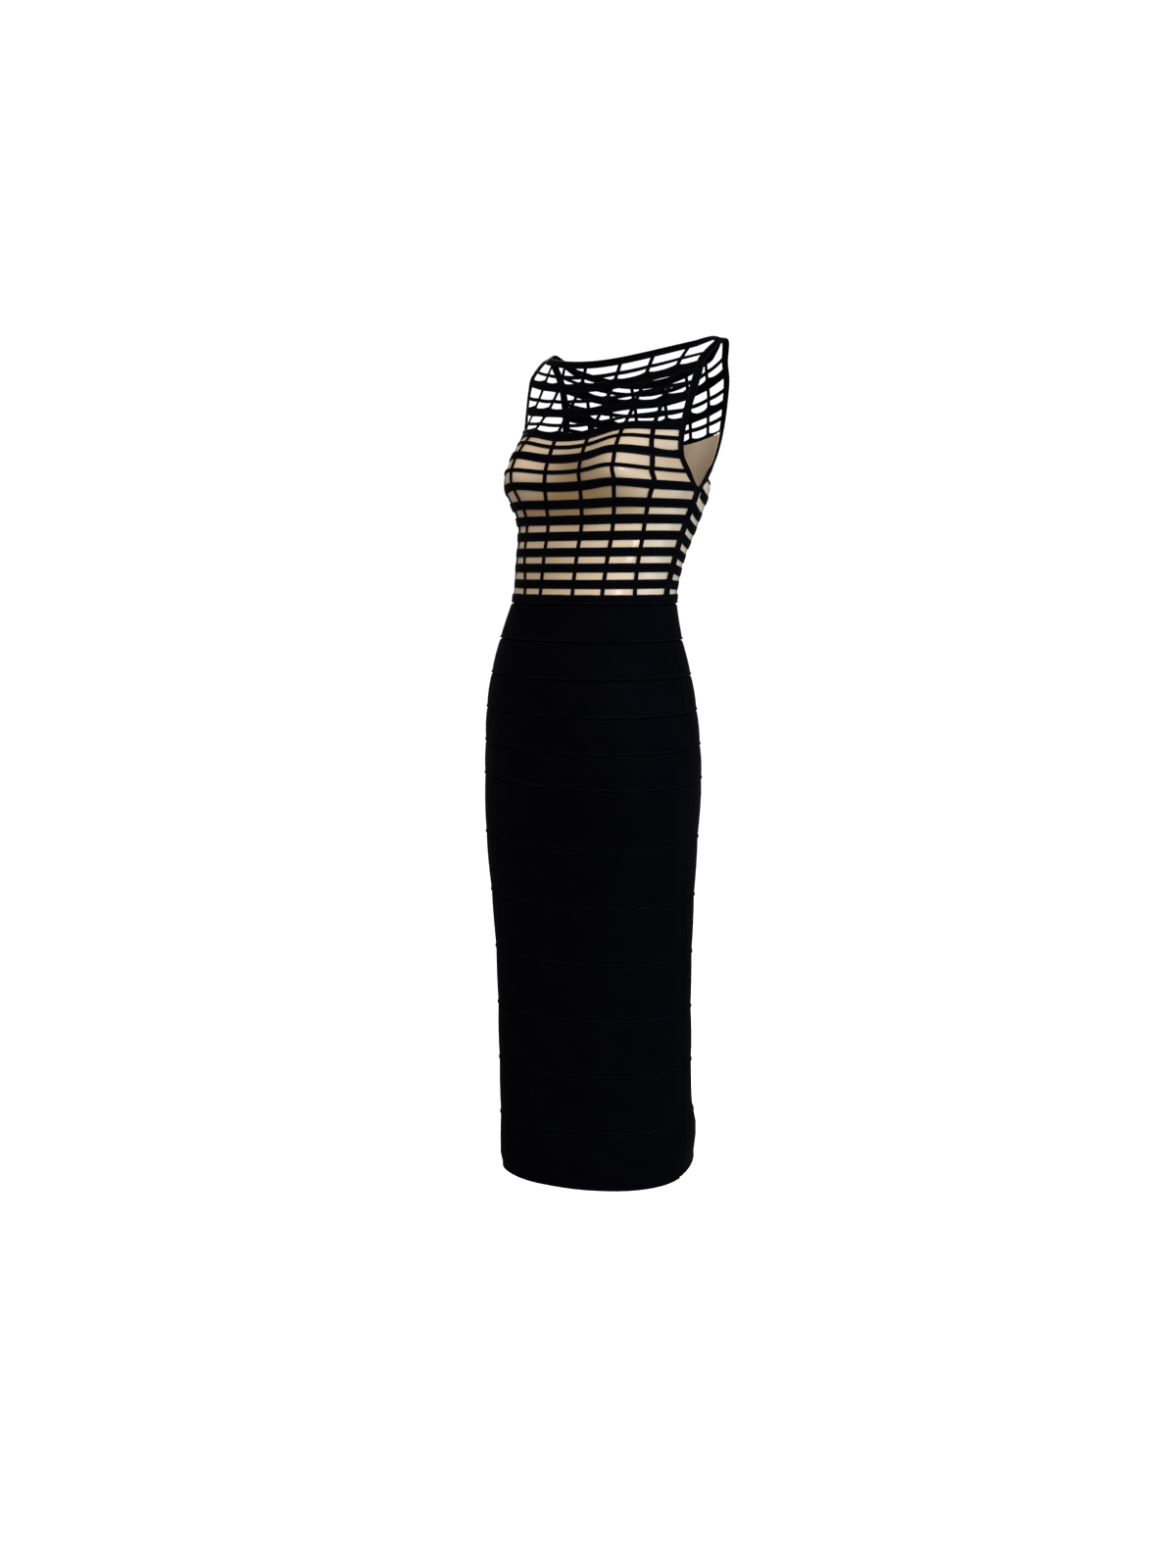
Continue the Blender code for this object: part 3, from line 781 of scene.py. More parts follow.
@dataclass(frozen=True)
class BandageKnit(Finish):
    """Dense rayon bandage knit: close ribs along each strip, a dry dull face and a faint bluish bloom.

    Real ribs and loops are about half as wide, too fine to show, so they are drawn as coarse as they need to
    be. Folded edges and seam lips are painted a little paler, partly as wear from rubbing in patches and
    partly as a painted highlight where they catch the light: the paler colour sets in as their noise rises
    from patch_low to patch_high.
    """

    name: str = "black_bandage_knit"
    valley: str = "#020204"
    ridge: str = "#06070C"
    wear_and_painted_light: str = "#0B0C12"
    bloom: str = "#9AA8D8"
    rib_mm: float = 1.7
    loop_mm: float = 2.1
    cloud_mm: float = 36.0
    patch_mm: float = 22.0
    patch_low: float = 0.35
    patch_high: float = 0.65
    fibre_mm: float = 1.1
    bump_mm: float = 0.35
    rib_weight: float = 0.65
    loop_weight: float = 0.35
    fibre_weight: float = 0.5
    valley_roughness: float = 0.7
    ridge_roughness: float = 0.56

    def material(self) -> bpy.types.Material:
        """Return the knit's material."""
        material, tree, shader = self.begin()
        along, across = self.cloth_axes(tree)
        rib, loop = self.ripple(tree, across, self.rib_mm), self.ripple(tree, along, self.loop_mm)
        place = add_node(tree, "ShaderNodeTexCoord").outputs["Object"]
        cloudy = add_node(
            tree, "ShaderNodeTexNoise",
            Vector=place, Scale=1 / (self.cloud_mm * MM), Detail=3.0, Roughness=0.55,
        )
        fibre = add_node(
            tree, "ShaderNodeTexNoise",
            Vector=place, Scale=1 / (self.fibre_mm * MM), Detail=2.0, Roughness=0.6,
        )
        loops = add_node(tree, "ShaderNodeMath", {"operation": "MULTIPLY"}, in_0=loop, in_1=self.loop_weight)
        height = add_node(
            tree, "ShaderNodeMath", {"operation": "MULTIPLY_ADD"},
            in_0=rib, in_1=self.rib_weight, in_2=loops.outputs[0],
        ).outputs[0]
        fuzz = add_node(
            tree, "ShaderNodeMath", {"operation": "MULTIPLY_ADD"},
            in_0=fibre.outputs["Fac"], in_1=self.fibre_weight, in_2=height,
        )
        tone = add_node(
            tree, "ShaderNodeMath", {"operation": "MULTIPLY"}, in_0=cloudy.outputs["Fac"], in_1=height,
        )
        ground = add_node(
            tree, "ShaderNodeMix", {"data_type": "RGBA"},
            in_0=tone.outputs[0], in_6=linear(self.valley), in_7=linear(self.ridge),
        )
        # Folded edges and seam lips are painted paler: wear in patches, and a painted highlight where they
        # catch the light.
        edge = add_node(tree, "ShaderNodeAttribute", {"attribute_name": WEAR_AND_PAINTED_LIGHT_ATTRIBUTE})
        patchy = add_node(
            tree, "ShaderNodeTexNoise",
            Vector=place, Scale=1 / (self.patch_mm * MM), Detail=2.0, Roughness=0.6,
        )
        worn = add_node(
            tree, "ShaderNodeMapRange",
            Value=patchy.outputs["Fac"], From_Min=self.patch_low, From_Max=self.patch_high,
        )
        wear_and_highlight = add_node(
            tree, "ShaderNodeMath", {"operation": "MULTIPLY"}, in_0=edge.outputs["Fac"], in_1=worn.outputs[0],
        )
        colour = add_node(
            tree, "ShaderNodeMix", {"data_type": "RGBA"},
            in_0=wear_and_highlight.outputs[0], in_6=ground.outputs[2], in_7=linear(self.wear_and_painted_light),
        )
        rough = add_node(
            tree, "ShaderNodeMapRange",
            Value=height, To_Min=self.valley_roughness, To_Max=self.ridge_roughness,
        )
        bump = add_node(
            tree, "ShaderNodeBump", Height=fuzz.outputs[0], Strength=0.5, Distance=self.bump_mm * MM,
        )
        set_inputs(
            tree, shader, Base_Color=colour.outputs[2], Roughness=rough.outputs[0], Normal=bump.outputs[0],
            Specular_IOR_Level=0.008, Sheen_Weight=0.004, Sheen_Roughness=0.45, Sheen_Tint=linear(self.bloom),
        )
        return material


@dataclass(frozen=True)
class PowerMesh(Finish):
    """Nude power mesh: a fine stretched net with a silky face and faint streaks where it pulls.

    It is painted deeper and more golden where the edge attribute says, as painted shade between and under the
    cups, at the sides and on the back, and is pale elsewhere. A real net is about half as wide, too fine to
    show, so it is drawn as coarse as it needs to be.
    """

    name: str = "nude_power_mesh"
    light: str = "#C9B7A0"
    deep: str = "#B9A388"
    painted_shade: str = "#846A48"
    net_mm: float = 1.5
    streak_mm: float = 4.0
    streak_run_mm: float = 110.0
    bump_mm: float = 0.3
    net_weight: float = 0.35

    def material(self) -> bpy.types.Material:
        """Return the mesh's material."""
        material, tree, shader = self.begin()
        along, across = self.cloth_axes(tree)
        rising = add_node(tree, "ShaderNodeMath", {"operation": "ADD"}, in_0=along, in_1=across)
        falling = add_node(tree, "ShaderNodeMath", {"operation": "SUBTRACT"}, in_0=along, in_1=across)
        one, two = (self.ripple(tree, threads.outputs[0], self.net_mm) for threads in (rising, falling))
        net = add_node(tree, "ShaderNodeMath", {"operation": "MULTIPLY"}, in_0=one, in_1=two)
        drawn = add_node(tree, "ShaderNodeCombineXYZ", X=along, Y=across)
        pulled = (1 / (self.streak_run_mm * MM), 1 / (self.streak_mm * MM), 1.0)
        pull = add_node(tree, "ShaderNodeMapping", Vector=drawn.outputs[0], Scale=pulled)
        streak = add_node(
            tree, "ShaderNodeTexNoise", Vector=pull.outputs[0], Scale=1.0, Detail=3.0, Roughness=0.6,
        )
        tone = add_node(
            tree, "ShaderNodeMath", {"operation": "MULTIPLY_ADD", "use_clamp": True},
            in_0=net.outputs[0], in_1=self.net_weight, in_2=streak.outputs["Fac"],
        )
        ground = add_node(
            tree, "ShaderNodeMix", {"data_type": "RGBA"},
            in_0=tone.outputs[0], in_6=linear(self.deep), in_7=linear(self.light),
        )
        # Painted shade: the attribute mixes the mesh towards a deeper golden colour between and under the
        # cups.
        shade = add_node(tree, "ShaderNodeAttribute", {"attribute_name": WEAR_AND_PAINTED_LIGHT_ATTRIBUTE})
        colour = add_node(
            tree, "ShaderNodeMix", {"data_type": "RGBA"},
            in_0=shade.outputs["Fac"], in_6=ground.outputs[2], in_7=linear(self.painted_shade),
        )
        bump = add_node(
            tree, "ShaderNodeBump", Height=tone.outputs[0], Strength=0.25, Distance=self.bump_mm * MM,
        )
        set_inputs(
            tree, shader, Base_Color=colour.outputs[2], Normal=bump.outputs[0], Roughness=0.5,
            Specular_IOR_Level=0.4, Coat_Weight=0.35, Coat_Roughness=0.12,
        )
        return material


@dataclass(frozen=True)
class SewingThread(Finish):
    """Spun polyester thread: a touch glossier than the knit that it is sewn into."""

    name: str = "black_thread"
    colour: str = "#09090C"
    twist_mm: float = 0.625

    def material(self) -> bpy.types.Material:
        """Return the thread's material."""
        material, tree, shader = self.begin()
        place = add_node(tree, "ShaderNodeTexCoord").outputs["Object"]
        twist = add_node(tree, "ShaderNodeTexNoise", Vector=place, Scale=1 / (self.twist_mm * MM), Detail=1.0)
        rough = add_node(tree, "ShaderNodeMapRange", Value=twist.outputs["Fac"], To_Min=0.45, To_Max=0.65)
        set_inputs(
            tree, shader, Roughness=rough.outputs[0], Base_Color=linear(self.colour), Specular_IOR_Level=0.03,
        )
        return material


@dataclass(frozen=True)
class StudioPaper(Finish):
    """Matt white studio floor, lit from under so that it runs into the white surround."""

    name: str = "white_studio_floor"
    colour: str = "#FAFAFA"
    glow: float = 0.75

    def material(self) -> bpy.types.Material:
        """Return the floor's material."""
        material, tree, shader = self.begin()
        set_inputs(
            tree, shader, Base_Color=linear(self.colour), Roughness=0.9, Specular_IOR_Level=0.1,
            Emission_Color=linear("#FFFFFF"), Emission_Strength=self.glow,
        )
        return material


@dataclass
class Tube:
    """A mesh in the making: rings of points along a path, each ring a closed loop round the cloth's section.

    points is (rings, round, 3) in mm. along and across are the cloth's own axes in mm at each ring and at
    each point round it, with one more column than points for the loop's last face. edge is how much paler a
    knit point is painted, partly wear and partly painted highlight, or how much painted shade a lining's
    point has, from 0 to 1.
    """

    points: np.ndarray
    along: np.ndarray
    across: np.ndarray
    edge: np.ndarray
    is_ring: bool = False

    def faces(self, start: int) -> tuple[list[tuple[int, ...]], list[tuple[float, float]]]:
        """Return the tube's faces, with closed ends where it isn't a ring.

        Args:
            start: The number of the tube's first vertex.

        Returns:
            The faces as vertex numbers, and the place on the cloth of each corner of each face, in mm.
        """
        rings, around = self.points.shape[:2]
        last = rings if self.is_ring else rings - 1
        along = self.along if self.along.ndim == 2 else self.along[:, None]
        along = np.broadcast_to(along, (last + 1, around + 1))
        across = np.broadcast_to(self.across, (last + 1, around + 1))
        faces, corners = [], []
        for i in range(last):
            low, high = start + i * around, start + (i + 1) % rings * around
            for k in range(around):
                after = (k + 1) % around
                faces.append((low + k, high + k, high + after, low + after))
                corners += ((i, k), (i + 1, k), (i + 1, k + 1), (i, k + 1))
        if not self.is_ring:
            for i, order in ((0, range(around)), (rings - 1, range(around - 1, -1, -1))):
                faces.append(tuple(start + i * around + k for k in order))
                corners += ((i, k) for k in order)
        return faces, [(along[corner], across[corner]) for corner in corners]


def build_piece(name: str, tubes: Sequence[Tube], material: bpy.types.Material) -> bpy.types.Object:
    """Make one piece from its tubes, with the cloth's axes as a UV map and its wear and painted light as an
    attribute.

    Args:
        name: The piece's name.
        tubes: The tubes that make it up.
        material: Its material.

    Returns:
        The finished object.
    """
    verts, faces, uvs, edges = [], [], [], []
    start = 0
    for tube in tubes:
        rings, around = tube.points.shape[:2]
        verts.append(tube.points.reshape(-1, 3) * MM)
        edges.append(np.broadcast_to(tube.edge, (rings, around)).reshape(-1))
        tube_faces, tube_uvs = tube.faces(start)
        faces += tube_faces
        uvs += tube_uvs
        start += rings * around
    mesh = bpy.data.meshes.new(name)
    mesh.from_pydata(np.concatenate(verts).tolist(), [], faces)
    layer = mesh.uv_layers.new(name=CLOTH_UV)
    layer.data.foreach_set("uv", (np.asarray(uvs) * MM).ravel())
    # The attribute holds the knit's wear and painted highlight, and the lining's painted shade.
    wear_and_painted_light = mesh.attributes.new(WEAR_AND_PAINTED_LIGHT_ATTRIBUTE, "FLOAT", "POINT")
    wear_and_painted_light.data.foreach_set("value", np.concatenate(edges).astype(np.float32))
    work = bmesh.new()
    work.from_mesh(mesh)
    bmesh.ops.recalc_face_normals(work, faces=work.faces)
    work.to_mesh(mesh)
    work.free()
    mesh.shade_smooth()
    mesh.materials.append(material)
    return add_object(name, mesh)


@dataclass(frozen=True)
class StripProfile:
    """The section of a flat knit strip with soft rounded edges, in mm.

    inner and outer are how far out its two faces lie, and crown how much its outer face rises in the middle.
    A corner's points that face outwards by more than wear_and_highlight_from are painted paler by
    outer_wear_and_highlight, partly wear and partly painted highlight, and the rest by
    inner_wear_and_highlight.
    """

    inner: float
    outer: float
    radius: float = 0.8
    crown: float = 0.25
    corner_steps: int = 3
    flat_steps: int = 4
    wear_and_highlight_from: float = 0.35
    outer_wear_and_highlight: float = 0.9
    inner_wear_and_highlight: float = 0.35

    def corner(self, side: float, middle: float, start: float, sign: float) -> list[tuple[float, ...]]:
        """Return one rounded corner of the section.

        Args:
            side: 1 or -1, for the edge that the corner is on.
            middle: How far out the corner's centre lies.
            start: The angle that it starts from.
            sign: 1 to turn outwards, and -1 to turn inwards.

        Returns:
            The points' rows, as in loop.
        """
        rows = []
        for turn in np.linspace(0, 1, self.corner_steps + 1) * math.pi / 2:
            angle = start + sign * turn
            # Corners that face outwards are painted paler, partly wear and partly painted highlight.
            wear_and_highlight = self.outer_wear_and_highlight if math.sin(angle) > self.wear_and_highlight_from else self.inner_wear_and_highlight
            inset = -side * self.radius * (1 - math.cos(angle))
            rows.append((side, inset, middle + self.radius * math.sin(angle), wear_and_highlight))
        return rows

    def loop(self) -> tuple[np.ndarray, np.ndarray, np.ndarray, np.ndarray]:
        """Return the loop round the section.

        Returns:
            The share of the half width, the inset from it, the distance out, and how much paler each point is
            painted, partly wear and partly painted highlight.
        """
        top, bottom = self.outer - self.radius, self.inner + self.radius
        flats = np.linspace(1, -1, self.flat_steps + 1)[1:-1]
        rows = [
            *self.corner(1.0, bottom, -math.pi / 2, 1),
            *self.corner(1.0, top, 0.0, 1),
            *((flat, 0.0, self.outer + self.crown * (1 - flat * flat), 0.0) for flat in flats),
            *self.corner(-1.0, top, math.pi / 2, -1),
            *self.corner(-1.0, bottom, 0.0, -1),
            *((flat, 0.0, self.inner, 0.0) for flat in flats[::-1]),
        ]
        share, inset, out, wear_and_highlight = np.array(rows).T
        return share, inset, out, wear_and_highlight


@dataclass
class Lattice:
    """One half of the lattice: cross bands, and the straps that pin them.

    hold says how closely a band keeps to its pins, foot_share how much of the rise at a pin its lower edge
    follows, and curl_power how much of its lean stays near the top edge.
    """

    form: BodyForm
    half: Half
    band_profile: StripProfile = field(default_factory=lambda: StripProfile(-1.9, -0.4, 0.6, 0.3))
    strap_profile: StripProfile = field(default_factory=lambda: StripProfile(-1.8, -0.6, 0.5, 0.15, 2, 2))
    band_rings: int = 150
    strap_rings: int = 130
    armhole_tuck_mm: float = 4.5
    side_strip_tuck_mm: float = 1.5
    neck_tuck_mm: float = 5.0
    waist_tuck_mm: float = 3.0
    hold: float = 2.6
    foot_share: float = 0.15
    curl_power: float = 1.5

    def end_share(self, level: float) -> float:
        """Return the share at which a band ends, under the armhole binding or the side strip."""
        if level < UNDERARM - ARMHOLE_BINDING_MM:
            past_edge = SIDE_STRIP_MM / 2 - self.side_strip_tuck_mm
            return 1 - past_edge / float(self.form.girth(self.half, level))
        return float(self.form.armhole_share(self.half, level, self.armhole_tuck_mm))

    def pins(self, level: float) -> np.ndarray:
        """Return the shares where a band is held: its two ends and the straps."""
        end = self.end_share(level)
        straps = [float(self.form.strap_share(self.half, number, level)) for number in range(STRAPS)]
        return np.array([-end, *straps, end])

    def band(self, band: Band) -> Tube:
        """Make one cross band, which hangs between the straps that pin it.

        Args:
            band: The band.

        Returns:
            Its tube.
        """
        pins = self.pins(band.level)
        shares = np.linspace(pins[0], pins[-1], self.band_rings)
        column = np.clip(np.searchsorted(pins, shares, side="right") - 1, 0, len(pins) - 2)
        part = (shares - pins[column]) / (pins[column + 1] - pins[column])
        held = np.abs(2 * part - 1) ** self.hold
        raised = np.interp(shares, pins, band.pinned) * held - np.array(band.dip)[column] * (1 - held)
        hang = band.sag * (1 - held)
        half_width = band.kind.value / 2
        top_edge = -half_width - raised + hang
        bottom_edge = half_width + hang + self.foot_share * raised
        middle, reach = (top_edge + bottom_edge) / 2, (bottom_edge - top_edge) / 2
        share_of, inset, out, wear_and_highlight = self.band_profile.loop()
        drop = middle[:, None] + reach[:, None] * share_of[None, :] + inset[None, :]
        lean = band.curl * (1 - held)[:, None] * np.clip(-share_of, 0, 1)[None, :] ** self.curl_power
        middle_level = band.level - self.form.droop(self.half, shares, band.level)
        start = np.broadcast_to(middle_level[:, None], drop.shape)
        level = self.form.below(self.half, shares[:, None], start, drop)
        points = self.form.point(self.half, shares[:, None], level, out[None, :] + lean)
        centre = self.form.point(self.half, shares, middle_level)
        return Tube(points, run_lengths(centre), run_lengths(points[len(points) // 2], is_ring=True), wear_and_highlight)

    def strap(self, number: int) -> Tube:
        """Make one upright strap, from the neck binding to the waist band.

        Args:
            number: The strap, counted from the wearer's right.

        Returns:
            Its tube.
        """
        at_neck = float(self.form.strap_share(self.half, number, 0.0))
        top = float(self.form.below(self.half, at_neck, 0.0, self.neck_tuck_mm))
        levels = np.linspace(top, WAIST_BAND_TOP - self.waist_tuck_mm, self.strap_rings)
        share_of, inset, out, wear_and_highlight = self.strap_profile.loop()
        across = share_of[None, :] * STRAP_MM / 2 + inset[None, :]
        girth = self.form.girth(self.half, levels)[:, None]
        shares = self.form.strap_share(self.half, number, levels)[:, None] + across / girth
        points = self.form.point(self.half, shares, levels[:, None], out[None, :])
        return Tube(points, run_lengths(points.mean(axis=1)), run_lengths(points[0], is_ring=True), wear_and_highlight)

    def build(self, material: bpy.types.Material) -> bpy.types.Object:
        """Make this half of the lattice.

        Args:
            material: The knit.

        Returns:
            The piece.
        """
        bands = [self.band(band) for band in BANDS[self.half]]
        straps = [self.strap(number) for number in range(STRAPS)]
        piece = build_piece(f"lattice_knit_{self.half.value}", bands + straps, material)
        widths = [band.kind.value for band in BANDS[self.half]]
        cloth = sum(tube.along[-1] * width for tube, width in zip(bands, widths))
        cloth += sum(tube.along[-1] * STRAP_MM for tube in straps)
        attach(piece, BODY)
        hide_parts(f"yoke_lattice_{self.half.value}", f"bodice_lattice_{self.half.value}")
        return piece


@dataclass
class Lining:
    """One half of the mesh lining, from under the third wide band to under the waist band.

    Soft pulls lift it between the bands: slow ones where two waves cross, and shallow ones close together.
    Each wave is given as how fast it turns with the share and with the level.
    """

    SLOW_PULLS = ((9, 0.05), (1.3, 0.11))
    CLOSE_PULL = (31, 0.31)

    form: BodyForm
    half: Half
    outer: float = -2.3
    inner: float = -2.9
    rows: int = 110
    columns: int = 120
    armhole_tuck_mm: float = 5.0
    waist_tuck_mm: float = 4.0
    side_gap_mm: float = 0.2
    side_ease_mm: float = 8.0
    slow_pull_mm: float = 0.12
    close_pull_mm: float = 0.06

    def pulled(self, share: np.ndarray, level: np.ndarray) -> np.ndarray:
        """Return how far soft pulls lift the mesh.

        Args:
            share: The points' shares.
            level: The points' levels.

        Returns:
            The lift at each point, in mm.
        """
        first, second, close = (
            np.sin(share * across + level * down) for across, down in (*self.SLOW_PULLS, self.CLOSE_PULL)
        )
        return self.slow_pull_mm * (first * second) + self.close_pull_mm * close

    def end_shares(self, levels: np.ndarray) -> np.ndarray:
        """Return the shares at which the lining ends.

        Args:
            levels: The levels to read.

        Returns:
            The shares, inside the armhole binding above and at the side seam below.
        """
        above = self.form.armhole_share(self.half, levels, self.armhole_tuck_mm)
        below = 1 - self.side_gap_mm / self.form.girth(self.half, levels)
        ease = eased((SIDE_SEAM_TOP - levels) / self.side_ease_mm)
        return above * (1 - ease) + below * ease

    def build(self, material: bpy.types.Material) -> bpy.types.Object:
        """Make this half of the lining.

        Args:
            material: The mesh.

        Returns:
            The piece.
        """
        levels = np.linspace(LINING_TOP, WAIST_BAND_TOP - self.waist_tuck_mm, self.rows)
        rows, ends, girth = levels[:, None], self.end_shares(levels), self.form.girth(self.half, levels)
        shares = ends[:, None] * np.linspace(-1, 1, self.columns)[None, :]
        outs = self.pulled(shares, rows)
        outer = self.form.point(self.half, shares, rows, self.outer + outs)
        inner = self.form.point(self.half, shares, rows, self.inner + outs)
        rings = np.concatenate((outer, inner[:, ::-1]), axis=1)
        run = run_lengths(outer[:, self.columns // 2])
        across = shares * girth[:, None]
        loop = np.concatenate((across, across[:, ::-1], across[:, :1]), axis=1)
        down = np.broadcast_to(run[:, None], loop.shape)
        # Painted shade: how much darker the mesh is painted at each point.
        deep = np.clip(sum(painted_shade.felt(shares, rows) for painted_shade in LINING_PAINTED_SHADE[self.half]), 0, 1)
        tube = Tube(rings, loop, down, np.concatenate((deep, deep[:, ::-1]), axis=1))
        piece = build_piece(f"mesh_lining_{self.half.value}", [tube], material)
        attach(piece, BODY)
        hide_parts(f"lining_{self.half.value}")
        return piece


def closed_stations(points: np.ndarray, count: int) -> np.ndarray:
    """Return evenly spaced rows on the smooth closed curve through rows of numbers.

    Args:
        points: The rows; the first three numbers are the place in mm.
        count: How many rows to return.

    Returns:
        The rows on the curve.
    """
    before, start, end, after = (np.roll(points, shift, axis=0) for shift in (1, 0, -1, -2))
    fine = []
    for t in np.arange(0, 1, 1 / CURVE_STEPS):
        fine.append(0.5 * (
            2 * start + (end - before) * t + (2 * before - 5 * start + 4 * end - after) * t**2
            + (3 * start - before - 3 * end + after) * t**3
        ))
    curve = np.stack(fine, axis=1).reshape(-1, points.shape[1])
    run = run_lengths(curve[:, :3], is_ring=True)
    closed = np.concatenate((curve, curve[:1]))
    even = np.linspace(0, run[-1], count, endpoint=False)
    return np.stack([np.interp(even, run, closed[:, column]) for column in range(points.shape[1])], axis=1)


@dataclass
class Binding:
    """A closed band of folded knit along an edge, with a row of stitches near each of its own edges.

    stations holds, row by row, a place, an outward direction and a width, all in mm. LEAST_SHEET_M is the
    narrowest sheet width, in metres.
    """

    LEAST_SHEET_M = 0.010

    name: str
    node: str
    stations: np.ndarray
    rings: int
    profile: StripProfile = field(default_factory=lambda: StripProfile(-2.2, 0.7, 1.1, 0.25))
    stitch_share: float = 0.62

    def frames(self) -> tuple[np.ndarray, np.ndarray, np.ndarray, np.ndarray]:
        """Lay out the band's path.

        Returns:
            The places, outward and crosswise directions, and widths along the band.
        """
        rows = closed_stations(self.stations, self.rings)
        places, outs, widths = rows[:, :3], unit(rows[:, 3:6]), rows[:, 6]
        along = unit(np.roll(places, -1, axis=0) - np.roll(places, 1, axis=0))
        outs = unit(outs - along * np.sum(outs * along, axis=1, keepdims=True))
        return places, outs, np.cross(outs, along), widths

    def build(self, material: bpy.types.Material) -> bpy.types.Object:
        """Make the binding.

        Args:
            material: The knit.

        Returns:
            The piece.
        """
        places, outs, cross, widths = self.frames()
        share_of, inset, out, wear_and_highlight = self.profile.loop()
        wide = share_of[None, :] * widths[:, None] / 2 + inset[None, :]
        points = places[:, None] + cross[:, None] * wide[..., None] + outs[:, None] * out[None, :, None]
        along = run_lengths(places, is_ring=True)
        tube = Tube(points, along, run_lengths(points[0], is_ring=True), wear_and_highlight, is_ring=True)
        piece = build_piece(self.name, [tube], material)
        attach(piece, BODY)
        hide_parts(self.node)
        return piece

    def stitch_rows(self) -> list[StitchRow]:
        """Return the two rows of stitches, one near each edge."""
        places, outs, cross, widths = self.frames()
        crown = self.profile.outer + self.profile.crown * (1 - self.stitch_share * self.stitch_share)
        rows = []
        for share, row in ((-self.stitch_share, "a"), (self.stitch_share, "b")):
            line = places + cross * (share * widths / 2)[:, None] + outs * crown
            rows.append(StitchRow(f"{self.name}_stitches_{row}", line))
        return rows


def neck_stations(form: BodyForm) -> np.ndarray:
    """Return the neck binding's stations.

    Args:
        form: The worn form.

    Returns:
        The stations over the front, the left shoulder ridge, the back and the right one.
    """
    shares = NECK_RIDGE_SHARE * np.linspace(-1, 1, NECK_STATIONS)

    def rows(half: Half, order: np.ndarray) -> np.ndarray:
        """Return the places and outward directions at shares of one half."""
        level = form.below(half, order, np.zeros_like(order), NECK_BINDING_MM / 2)
        return np.column_stack((form.point(half, order, level), form.normal(half, order, level)))

    path = np.vstack((
        rows(Half.FRONT, shares), np.concatenate((RIDGE_NECK, RIDGE_NORMAL)),
        rows(Half.BACK, shares[::-1]), np.concatenate((RIDGE_NECK * MIRROR, RIDGE_NORMAL * MIRROR)),
    ))
    return np.column_stack((path, np.full(len(path), NECK_BINDING_MM)))


def armhole_stations(form: BodyForm, side: int) -> np.ndarray:
    """Return an armhole binding's stations.

    Args:
        form: The worn form.
        side: 1 for the wearer's left and -1 for the right.

    Returns:
        The stations down the front, under the arm, up the back and over the shoulder ridge.
    """
    just_inside = 0.999

    def row(half: Half, level: float, width: float) -> np.ndarray:
        """Return one station of a half."""
        share = side * float(form.armhole_share(half, level, width / 2))
        return np.concatenate((form.point(half, share, level), form.normal(half, share, level), (width,)))

    bottom = UNDERARM - ARMHOLE_BINDING_MM / 2
    under = form.point(Half.FRONT, float(side), bottom)
    facing = form.normal(Half.FRONT, side * just_inside, bottom)
    ridge = np.array((side, 1.0, 1.0))
    return np.vstack((
        [row(Half.FRONT, level, width) for level, width in zip(ARMHOLE_LEVELS, ARMHOLE_FRONT_MM)],
        np.concatenate((under, facing, (UNDERARM_BINDING_MM,))),
        [row(Half.BACK, level, ARMHOLE_BINDING_MM) for level in reversed(ARMHOLE_LEVELS)],
        np.concatenate((RIDGE_ARM * ridge, RIDGE_NORMAL * ridge, (ARMHOLE_BINDING_MM,))),
    ))


@dataclass
class SideStrip:
    """The strip over one bodice side seam.

    side is 1 for the wearer's left and -1 for the right. near_seam is the share at which each half gives the
    strip's crosswise direction.
    """

    form: BodyForm
    side: int
    profile: StripProfile = field(default_factory=lambda: StripProfile(-2.2, 0.9, 1.0, 0.3))
    rings: int = 70
    waist_tuck_mm: float = 2.0
    near_seam: float = 0.96

    def build(self, material: bpy.types.Material) -> bpy.types.Object:
        """Make the strip.

        Args:
            material: The knit.

        Returns:
            The piece.
        """
        levels = np.linspace(SIDE_SEAM_TOP, WAIST_BAND_TOP - self.waist_tuck_mm, self.rings)
        seam = self.form.point(Half.FRONT, float(self.side), levels)
        ahead = self.form.point(Half.FRONT, self.side * self.near_seam, levels)
        behind = self.form.point(Half.BACK, self.side * self.near_seam, levels)
        cross = unit(behind - ahead)
        down = unit(np.gradient(seam, axis=0))
        outs = unit(np.cross(cross, down))
        outs *= np.sign(outs[:, :1] * self.side)
        share_of, inset, out, wear_and_highlight = self.profile.loop()
        wide = share_of * SIDE_STRIP_MM / 2 + inset
        points = seam[:, None] + cross[:, None] * wide[None, :, None] + outs[:, None] * out[None, :, None]
        along = run_lengths(seam)
        tube = Tube(points, along, run_lengths(points[0], is_ring=True), wear_and_highlight)
        name = "left" if self.side > 0 else "right"
        piece = build_piece(f"side_strip_knit_{name}", [tube], material)
        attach(piece, BODY)
        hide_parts(f"side_strip_{name}")
        return piece


